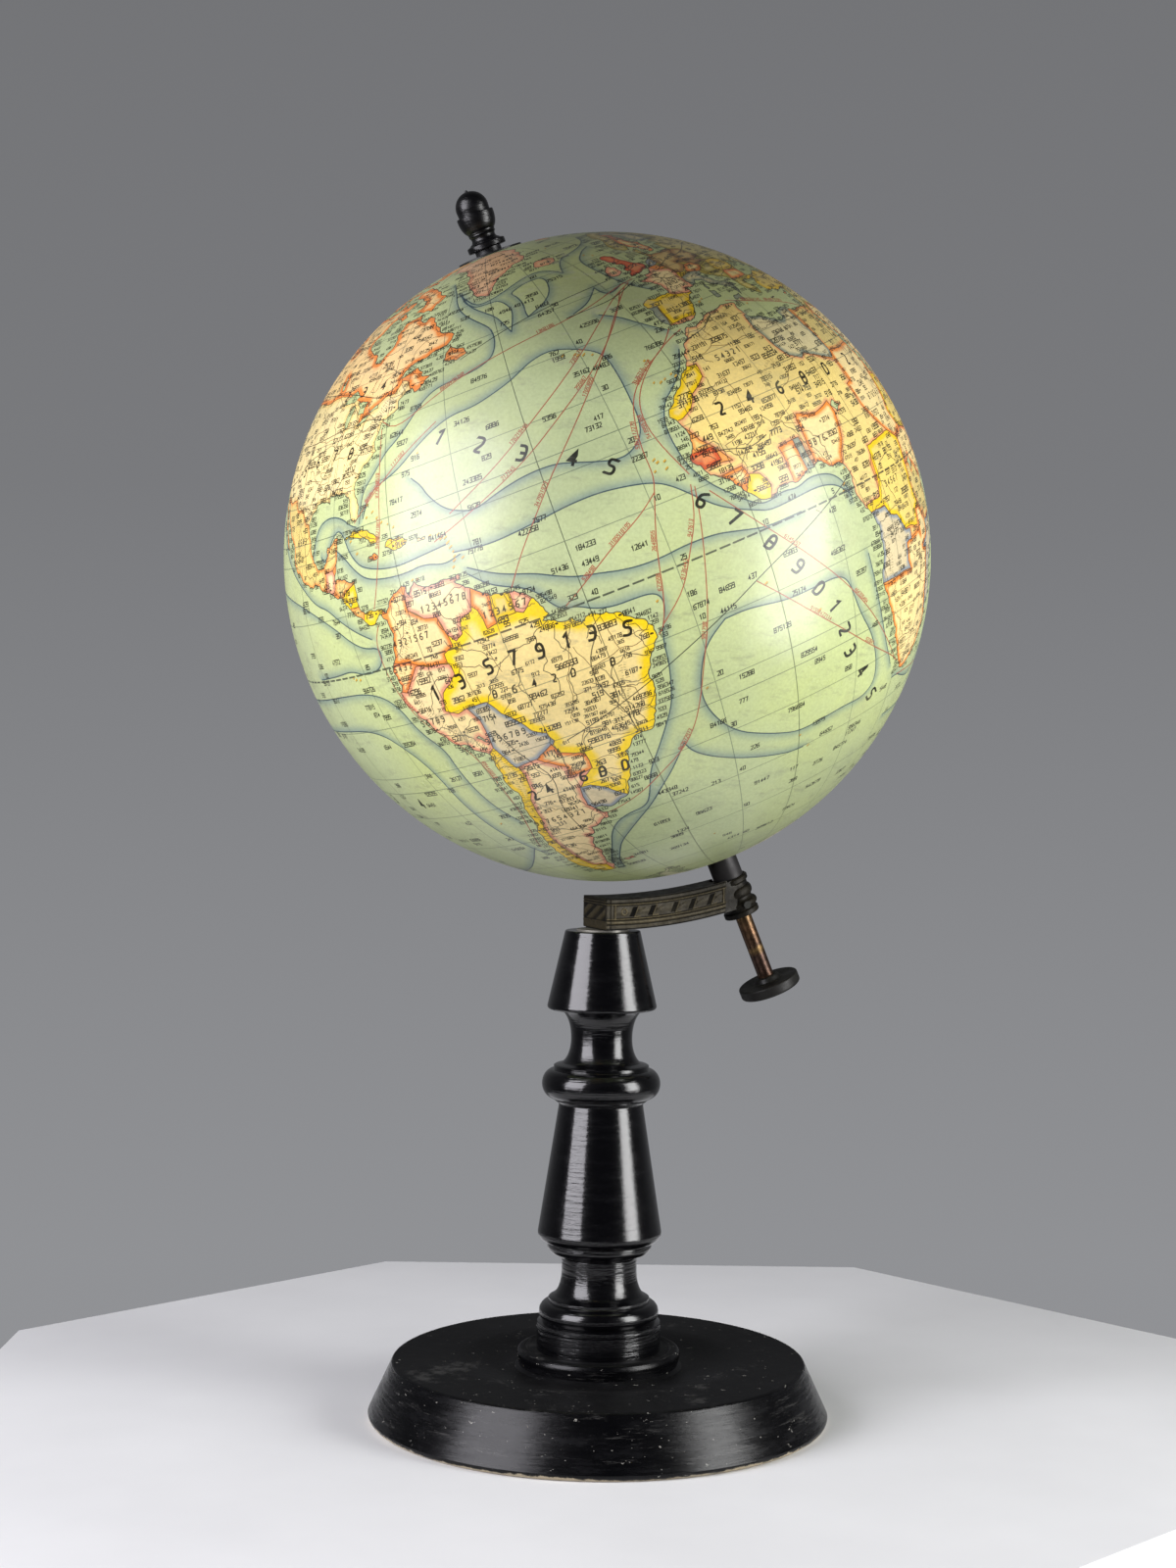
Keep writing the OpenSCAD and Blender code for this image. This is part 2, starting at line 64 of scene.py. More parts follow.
# Map data after general geography, where every place is longitude,latitude in degrees.
# Each coast has the name of its land, and some names stand for the islands near them.
LAND = {
    "north_america":
    "-168,66 -163,67 -166,68.5 -162,70 -156,71.3 -148,70.5 -141,69.7 -135,69 -128,70 "
    "-122,69.5 -115,68 -108,67.8 -102,67.8 -96,68.2 -94,71.5 -92,69.5 -88,68.5 -85,69.5 -82,69 "
    "-83,67.4 -86,66.8 -88,65.4 -91,64 -92.5,62 -94.5,60.5 -93,58.9 -90,57.6 -87,56.6 -84.5,55.8 "
    "-84,54.2 -81.5,53.8 -80.3,55.2 -77.8,57 -78.9,59.5 -77.5,62.4 -73.5,62.6 -70,63.2 -69,61 "
    "-66.5,60.2 -65,61.3 -63,60.5 -61.5,58 -59,55.2 -56.5,54.6 -54.6,53.6 -56,52 -59,51.2 "
    "-63,50.4 -66.5,50.2 -69,49.2 -70.8,47.8 -68,48.3 -65,48.9 -63.4,47.6 -63.8,46.8 -61.2,46.3 "
    "-63,44.9 -65.5,43.9 -66.3,45 -68,44.6 -70,43.3 -69.8,41.9 -71.6,41.3 -73.8,40.6 -74.8,38.9 "
    "-76,37.2 -75.3,35.4 -77.4,34 -79.3,33 -81,31.2 -81.2,29.4 -80,27 -80.4,25 -82,24.9 -82.6,27.3 "
    "-83,29 -84.5,30 -87,30.4 -89.3,30.3 -89.2,29 -91.5,29.5 -94,29.6 -96,28.2 -97.3,27 -97.2,24.5 "
    "-96.6,22 -95.6,20 -94,18.6 -92,18.7 -90.9,19.8 -90.2,21.8 -88,22.6 -86.7,22.9 -87.2,20 "
    "-88,18 -88.8,16 -86,15.9 -83.3,15.2 -83.2,13 -83.4,11 -82.2,9.4 -80,9.5 -78,9.5 -76.8,8.2 "
    "-77.5,7.2 -78.6,8.8 -80.4,7.4 -81.7,7.4 -83,8.5 -85,9.8 -85.8,10.8 -87.6,13 -90,13.8 "
    "-92.2,14.6 -94.5,16 -97,15.8 -99.5,16.7 -102,18 -104.5,19.2 -105.6,20.5 -105.5,22.5 -108,25 "
    "-109.5,26.8 -111,28 -112.7,30 -113.2,31.2 -114.8,31.6 -114.3,30 -112.5,27.8 -111,25.5 "
    "-109.6,23.2 -112,24.8 -112.3,26.2 -114.5,27.3 -115.5,29.5 -117,32.5 -118.5,34 -120.6,34.6 "
    "-122,36.8 -123.8,39.5 -124.3,42 -124,46 -124.7,48.3 -122.5,48.5 -125,50.3 -128,52 -130.5,54.5 "
    "-133,57 -136,58.5 -140,59.7 -144,60 -148,60.2 -151,59.5 -152,61 -154,58.8 -158,57 -162,55 "
    "-164.5,54.6 -160,56.5 -157.5,58.8 -162,59 -165,61 -165,63 -161,63.6 -161,64.6 -166,64.6",
    "south_america":
    "-77.4,8.6 -75.6,10.6 -74.6,11.3 -72.6,12.1 -71.6,11.8 -71.9,10.8 -71.4,10 "
    "-70.8,11.3 -69.8,12.1 -68.3,10.8 -66,10.6 -63.5,10.7 -61.9,10.6 -62.3,9.8 -60.8,8.6 "
    "-58.6,7.2 -57,6 -55,5.8 -53,5.5 -51.6,4.6 -50.4,3.4 -49.5,1.6 -49,0.3 -50.3,-0.4 -48.6,-0.9 "
    "-47.6,-1.6 -46,-1.5 -44.6,-2.8 -43.7,-2.1 -42,-2.3 -40.5,-2.5 -38.4,-3.4 -36.9,-4.9 "
    "-35.2,-5.9 -34.3,-7.4 -34.3,-9.3 -35.6,-11 -36.8,-12.6 -37.7,-14.2 -37.5,-16.2 -37.8,-18.3 "
    "-38.8,-21 -40.2,-23.6 -42.4,-23.7 -44.6,-24.4 -46.6,-26.1 -47.1,-28.5 -47.8,-31.2 "
    "-49.3,-33.6 -50.2,-34.9 -52.5,-35.6 -55,-36.4 -57.2,-35.6 -58.4,-35.2 -57.4,-36.8 "
    "-56.2,-37.4 -56.8,-38.8 -60,-39.8 -62,-40.2 -62.3,-41.6 -64.4,-41.8 -63.6,-43 -65,-44.2 "
    "-65.8,-45.8 -65.3,-47.2 -66.6,-48.6 -67.8,-50.8 -68.6,-52.4 -68.3,-54 -69.8,-55.6 -73,-56 "
    "-75.6,-54.4 -76.6,-52 -77,-49.5 -76.6,-46.8 -76,-44 -75.6,-41.8 -74.6,-40 -74,-37.6 "
    "-72.2,-35.2 -71.6,-32.6 -70.7,-30.4 -69.9,-27.5 -70.1,-23.5 -69.9,-20.6 -69.7,-18.9 "
    "-71.5,-17.8 -74.4,-15.9 -76,-14.4 -77.5,-12 -78.7,-9.8 -79.6,-8 -80.8,-6.3 -80.6,-4.8 "
    "-79.6,-3.4 -79.9,-2.2 -80.2,-0.8 -79,0.8 -78.3,2 -77.6,3.8 -77.3,5.6 -77.6,7.2",
    "greenland": "-44,60.8 -46.5,61.6 -48.6,63 -50.2,65.4 -51.8,68 -51,70 -54,72.5 -57,75.5 "
    "-63,76.4 -69,76.6 -70,78.5 -65,80.5 -55,82 -40,83.2 -28,83.3 -20,81.5 -17,79 -20,76.5 "
    "-19,74.5 -22,72.5 -22,70.5 -26,69 -30,68.6 -34,66.6 -38,65.6 -39.6,64 -41,62 -43,60.6",
    "iceland": "-23.4,64.6 -22.2,66 -20.5,66.4 -16.5,66.4 -13.6,65.3 -14.6,64.2 -18,63.2 "
    "-21,63.6 -22.6,63.9",
    "newfoundland": "-55.7,51.4 -54,49.8 -52,49.4 -51.4,47.9 -53.5,47.3 -55.5,47.7 -57.6,48.2 "
    "-57,49.6",
    "baffin": "-63,65.5 -61.5,66.8 -66,68.5 -70,70.5 -77,72.6 -83,73.5 -88,72.5 -86,70.8 -80,70 "
    "-74,68.2 -73,66 -76,64.6 -70.5,63.8 -66,63.2 -65,64.8",
    "victoria": "-105,69.3 -115,69.5 -117,71 -113,72.8 -106,73.3 -102,71.2",
    "banks": "-125,72 -123,71 -118,73 -121,74.5 -124,74",
    "ellesmere": "-62,82.4 -75,83.2 -90,82 -92,80 -84,78.5 -89,76.5 -80,76.4 -74,79.2",
    "devon": "-80,75.6 -92,76.5 -92,74.8 -80,74.6",
    "southampton": "-80.5,64.8 -84,66.2 -87,65.2 -83,63.8",
    "somerset": "-91,74 -95.5,74 -96,72.5 -92,72.6",
    "wales": "-97,73.6 -101,74 -102,72 -97,71.5",
    "melville": "-105,75.5 -116,76.3 -117,75 -107,74.8",
    "parry": "-96,76.5 -104,77.5 -104,76 -97,75.5",
    "heiberg": "-88,80.8 -94,81 -95,79 -88,78.5",
    "vancouver": "-123.5,48.4 -125.5,50 -128,50.8 -125.4,48.7",
    "cuba": "-84.6,22.2 -82,23.2 -79.5,22.9 -77,21.7 -75.2,20.6 -77.5,20.1 -78.3,21.1 -81.8,22",
    "haiti": "-74.3,18.8 -73.4,20 -71,19.9 -69.3,18.9 -70.8,18 -72.5,17.9",
    "porto": "-67.2,18.5 -65.6,18.4 -65.8,18 -67.2,18",
    "jamaica": "-78.6,18.2 -77,18.5 -76.2,17.7 -77.5,17.4",
    "trinidad": "-61.8,10.8 -61,10.8 -61.2,10.1 -61.8,10.1",
    "falkland": "-64,-52.6 -61,-52.4 -60.4,-53.2 -63,-53.4",
    "africa": "-4.4,36 -5.4,35.4 -7.8,33.2 -9.3,31.4 -9.6,30.2 -10.6,29 -13.2,27.2 -14.8,26 "
    "-16.6,24.2 -18.6,22.2 -17.4,20.2 -17,19 -17.2,17 -18,15.5 -18.8,14.5 -17.6,13.2 -17.3,12.1 "
    "-15.8,10.6 -14.3,9.6 -13.2,8 -12.2,6.6 -10.8,5.2 -8.9,4.2 -7.2,4.4 -4,5.2 -1.8,4.9 1,5.9 "
    "3.2,6.3 5,5.4 6.2,4.5 7.8,4.8 8.7,4.2 9.3,3 9.2,1 9,-0.7 10,-2.9 11.4,-4.8 12.2,-6.5 "
    "12.8,-9 12.8,-10.8 12.2,-13.5 11.2,-16.5 11.8,-18.7 13.4,-22 14.4,-24.8 15.4,-27.6 "
    "17,-30.4 18.9,-33 20.4,-34.8 22,-35.2 25,-34.4 28.4,-32.8 31,-30 32.8,-27.8 32.8,-25.8 "
    "35.4,-24 35.2,-21.8 34.8,-19.8 37.2,-17.6 40.4,-15.8 40.6,-12.6 40.4,-10.4 39.4,-8 38.8,-6 "
    "39.6,-4 41.4,-1.9 43.8,1 46.4,2.8 48.2,5 50.2,8.4 51.2,11.8 48.8,11.3 44.6,10.4 43.2,12.4 "
    "41.6,14.6 39.4,15.8 37.6,18.4 37,21 35.4,24 33.6,27.6 32.6,29.9 34.2,31.3 32,31.4 30,31.5 "
    "27.6,31.2 24.9,31.9 22.8,32.7 20.2,32.3 20,30.8 18.6,30.3 15.4,32 12.6,32.9 11,33.6 "
    "10.7,35.3 11.3,37 9,37.4 6,37.2 2,36.9 -1.4,35.8 -3.4,35.6",
    "madagascar": "49.3,-12 50.4,-15.6 49.6,-18 47.2,-24.8 45,-25.5 43.6,-23.5 44.4,-20 44.2,-17 "
    "46.5,-15.6 48.5,-13.5",
    "eurasia":
    "-4,36.9 -5.4,37 -7.2,37.4 -8.2,38.8 -7.8,41.4 -8.4,43.6 -6.6,44.3 -3,44 -0.3,44 "
    "0.2,46.2 -1.2,47.8 -3.2,48.8 0,49 0,50 1.8,50.1 3.2,51.3 5,52 6.2,53.4 8.2,54 9.8,54.4 "
    "9.2,56 9.2,57.6 11.2,58.2 11.2,56.8 11.6,54.6 14,54.6 16.9,54.6 19,54.8 20.8,55 21.4,57 "
    "22.6,57.8 24.2,57.4 24.4,58.6 23.6,59.3 28,59.7 30,60 25,60.2 22.8,60 21.4,61.2 21.5,63 "
    "25,64.8 24.8,65.8 22.4,65.7 20.4,63.8 17.8,62.2 17.8,60.8 19.2,60 17.4,58.6 17,56.8 "
    "15.2,55.6 13.8,55.6 13.6,57.2 12.2,59 11,59.6 9.2,58.4 7,59 6.4,60.8 6.6,62.2 9.4,63.8 "
    "11.8,64.9 13,66.4 15,68.4 18.6,69.8 23,70.8 28,71 31,70.2 29.6,69.6 33,69.4 40.6,67.6 "
    "41,66.5 38,66.2 33,66.7 34.6,64.4 38,64 37,65 40,64.6 40.4,66 44,66.2 44,68.4 48,67.8 "
    "54,68.6 58,68.8 61,69.6 68,68.3 66.6,71 69.5,72.9 73,71.5 72,68 74,67 74.5,72.5 80.5,73.6 "
    "87,75 98,76.3 104,77.7 112,76 107,73.4 113.5,73.6 123,73 129,71.4 133,71.6 140,72.6 "
    "150,71.4 160,69.8 170,69.8 180,69 190,66 187,64.4 181,65 179,62.4 170,60 164,59.8 162,57 "
    "159.8,53.2 156.6,51 155.6,56 160,60.6 163,62.2 155,59.3 148,59.4 142,59 135.6,54.7 141,53 "
    "140.5,49 138,46 135,43.5 131.5,43 129.6,41 127.6,39.6 129.4,37 129,35.2 126.6,34.6 "
    "126.6,37.4 125,38 124.8,39.6 121.6,39 122,40.7 118,39 119,37.3 122.5,37.2 119.4,35 "
    "121.8,31.6 121.8,29 119.6,25.5 116,22.9 113.5,22 110.4,21.2 109,21.5 106.5,20 105.8,18.6 "
    "108.6,15.6 109.3,12.3 107,10.5 105,8.7 104.8,10.4 102.6,12 100.8,13.4 100,11.5 99.3,9.4 "
    "101,6.8 103.4,4 103.6,1.4 101.3,2.9 100.3,6 98.3,8.4 98.6,12 97.6,16.3 95.4,15.8 94.3,17.8 "
    "92,21.5 90.4,22.5 87,21.4 85,19.5 82,16.6 80.2,15 79.9,11 78,8.2 76.5,9.4 74.6,13.5 73,17.6 "
    "72.8,20.6 70.4,21 69,22.4 67,24.6 62,25.2 57.5,25.7 56.4,27.1 52.6,27.5 50,30.1 48,30 "
    "48.4,28 50.2,26.4 51.4,24.4 54,24.2 56.2,26 56.8,24.2 59.8,22.5 57.6,19 55,17 51,15.3 "
    "45,12.8 43.4,12.8 42.7,16.5 39.3,20.5 37.2,24.5 34.8,28 34.9,29.4 33.6,28 32.6,29.9 "
    "34.3,31.4 35.6,34 36,36.4 34,36.2 30.6,36.4 27.4,36.8 26.6,39 29,40.6 26.6,40.4 24.4,40.8 "
    "23.2,40.4 24.2,38 23,36.6 21.8,37.4 20.2,40.6 20,42 17,43.7 14.4,45.6 13,45.4 13.4,44.4 "
    "14.8,42.6 16.8,42 19,40.5 17.7,40.5 17,38.9 16.4,38 16.6,39.8 14.6,41.3 12,42.6 11.2,44.1 "
    "9.6,44.6 7.4,43.5 4.6,43.6 4.8,42.1 2.2,41 1.2,39.2 -0.2,37.6 -2.2,36.8",
    "britain": "-1.4,51 1.6,51.5 4,52 4,53.4 2.6,54 1.8,55.2 0.8,56.4 0.6,58.2 -0.8,59.2 "
    "-3,59.1 -3.2,57.2 -2.2,55.4 -0.8,55 -1,53.9 -2.6,53.2 -1.6,52.1 -3.4,50.8",
    "ireland": "-7.4,52.4 -5.6,52.2 -4,52.8 -3.8,54.6 -5.2,55.8 -7.6,54.6",
    "sicily": "13.4,38.2 15.8,38.4 15.4,36.8 13,37.6",
    "sardinia": "9.2,41.2 10.6,40.8 10.4,39.2 9.2,39.2",
    "corsica": "9.6,42.4 10.3,43 10.4,41.8 9.8,41.5",
    "crete": "23.6,35.5 26.3,35.2 24.5,34.9",
    "cyprus": "32.4,35 34.5,35.6 33.5,34.6",
    "novaya": "51.5,71.4 55,70.8 58,73 68,76.6 62,76.2 55,74.5",
    "svalbard": "11,79.2 16,76.8 21,78.2 27,79.8 18,79.8",
    "severnaya": "95,79.5 105,78.4 100,80.6 94,80.8",
    "siberian": "138,75.8 149,75 146,74 139,74.4",
    "honshu": "130.9,34 132.5,35.6 136,35.8 137.2,37.5 139.4,38.6 140,41.2 141.4,41.4 142,39.4 "
    "140.9,36 139.8,35 137,34.6 135.2,33.6 133,34.3",
    "kyushu": "130,33.6 131.8,33.4 131.2,31.2 130.2,31.4",
    "shikoku": "132.4,33.8 134.6,34.2 134,33.3 132.8,32.9",
    "hokkaido": "140,41.6 141.4,43.2 141.8,45.4 145.2,43.6 143.2,42 141,42.4",
    "sakhalin": "142,46.2 142,50 142.6,54 143.6,51.4 143.4,48.4 143,46.8",
    "formosa": "120.2,23 121,25 122,25 120.9,22",
    "hainan": "108.8,19.6 110.6,20 110.8,19 109.2,18.2",
    "luzon": "120.4,16 120.8,18.4 122.2,18.4 121.6,15.8 124,13 122,13.7 120.6,14",
    "mindanao": "122,7 123.6,8.6 125.6,9.8 126.4,7 125.4,5.8 124,6.6",
    "visayas": "122,11.8 124.8,12.4 125.2,11 123,9.4",
    "palawan": "117.3,8.5 119.4,11 119,10",
    "borneo": "109,1.5 111.4,2.6 113.6,3.6 117,7 119.2,5.2 117.8,3 117.6,0.8 116.4,-2 114.6,-4 "
    "111.6,-3.4 110,-1.4",
    "sumatra": "95.4,5.6 98,4.2 100.6,2.2 103.6,-1 106,-3.2 105.8,-5.8 104.4,-5.8 101,-2.6 "
    "98.6,1.8",
    "java": "105.3,-6.8 108.4,-6.8 112.6,-6.9 114.5,-8.6 110,-8.1 106.4,-7.4",
    "celebes": "119,-3 119.8,0.6 122.8,0.9 125,1.6 123,0.4 120.4,0.4 121.4,-1 123.4,-0.9 "
    "121.8,-2 122.6,-4.6 121.2,-2.8 120.4,-5.4 119.4,-5",
    "timor": "123.6,-10.2 127.2,-8.4 125,-9.4",
    "halmahera": "127.6,0 128.6,1.8 128.2,-0.8",
    "ceram": "128,-3.2 130.8,-3.2 129,-3.6",
    "papua": "131,-0.9 134,-0.8 135,-3.4 138,-1.7 141,-2.6 145.8,-4.8 147.8,-6.2 147.2,-7.6 "
    "150.8,-10.4 147,-9.4 144,-7.8 142.4,-9.2 139.2,-8.1 138,-5.6 133.6,-4 132.8,-2.6",
    "britannia": "148.4,-5.8 152,-4.2 151,-6",
    "ceylon": "79.8,8 80.4,9.6 81.8,7.2 80.4,6",
    "australia": "113.6,-22.5 114.2,-21.8 117,-20.6 119.5,-20 122.2,-18 123.5,-16.6 126,-14 "
    "128.8,-14.8 130.6,-12.2 132.6,-11.3 136.8,-12 135.6,-14.8 139,-17.4 141,-16 141.6,-12.6 "
    "142.6,-10.8 144,-14.2 145.6,-15.4 146.4,-18.8 149.6,-22 152.8,-25 153.6,-28.4 152.6,-32 "
    "150,-37 147,-38.4 144.6,-38.2 140.6,-38 139.4,-35.8 137.6,-35 136,-34.8 134.2,-32.8 "
    "131,-31.5 126,-32.2 123.6,-33.9 118.4,-35 115.2,-34.4 115.8,-32 113.8,-26.6",
    "tasmania": "144.8,-40.8 148.3,-40.9 147.8,-43.2 146,-43.5",
    "zealand_n": "172.8,-34.5 175.6,-36.6 178.5,-37.7 177,-39.6 175.2,-41.6 174,-39.4 "
    "174.6,-37.4",
    "zealand_s": "172.8,-40.6 174.2,-41.8 171,-44.4 168.6,-46.6 166.6,-45.8 170.4,-43",
    "caledonia": "164,-20.2 166.9,-22.3 165.6,-21.8",
    "antarctica": "-180,-78 -160,-78 -150,-76 -130,-74.5 -110,-74 -100,-73 -85,-73.5 -75,-72.5 "
    "-68,-70 -66,-66.5 -60,-63.6 -57,-63.6 -61,-66 -62,-70 -61,-74 -75,-77 -60,-79 -40,-78 "
    "-28,-75.5 -15,-72.5 0,-70 20,-70 35,-69 50,-66.8 60,-67 70,-68.5 85,-66.8 100,-66 "
    "115,-66.5 130,-66.2 145,-67 155,-69 165,-71 170,-72.5 163,-77 180,-78 180,-90 -180,-90",
}
# Lakes and inland seas
LAKES = [
    "-92,46.9 -90,48.2 -87,49 -84.8,47.6 -87,46.7 -89.5,46.9",
    "-87.8,42 -88,44.6 -86.4,46 -85.4,45.4 -86.4,43.4 -86.8,41.9",
    "-84.4,46.2 -80.8,45.8 -81.4,43.6 -83.6,43.8 -83.4,45.2",
    "-83.2,41.7 -80.8,42.8 -79,42.9 -81.6,41.6",
    "-79.6,43.4 -76.6,44.3 -76.4,43.6 -78.6,43.3",
    "-99,53.8 -97.6,53 -96.4,50.6 -97.4,50.6 -98.6,52",
    "-111,59.4 -106,59.4 -109,58.9", "-117,61.2 -112,62.6 -110,62.8 -113.6,61",
    "-125,66.2 -120,67 -119,66 -123,65", "-86,12 -85,11.6 -85.6,11.2",
    "28,41.6 31,41.2 35,42 38,41 41.5,41.5 39,44 37,45.3 38,47 35,46.2 33.6,44.6 32,46.2 "
    "30.5,46 28.6,44",
    "47.5,45.5 51,46.8 53,45.2 51,44.2 53.5,41 53.8,37.2 50,37.5 48.8,40 49,42",
    "58.5,45.5 61.5,46.5 60,43.6", "104,51.6 110,55.6 109,53.5",
    "31.8,-0.6 33.8,0.2 34,-1.6 32.4,-2.6", "29.2,-3.4 30.6,-6.8 31.2,-8.6 29.6,-6",
    "34,-9.6 35,-12 34.6,-14.4 34.2,-12", "13.2,13.6 14.4,14.4 15.4,13.2 14.2,12.4",
    "31,61 33,60.6 31.6,59.9", "35,62.6 36,61 34.8,61.6", "-70.2,-15.4 -69,-16.6 -69.6,-15.2",
]

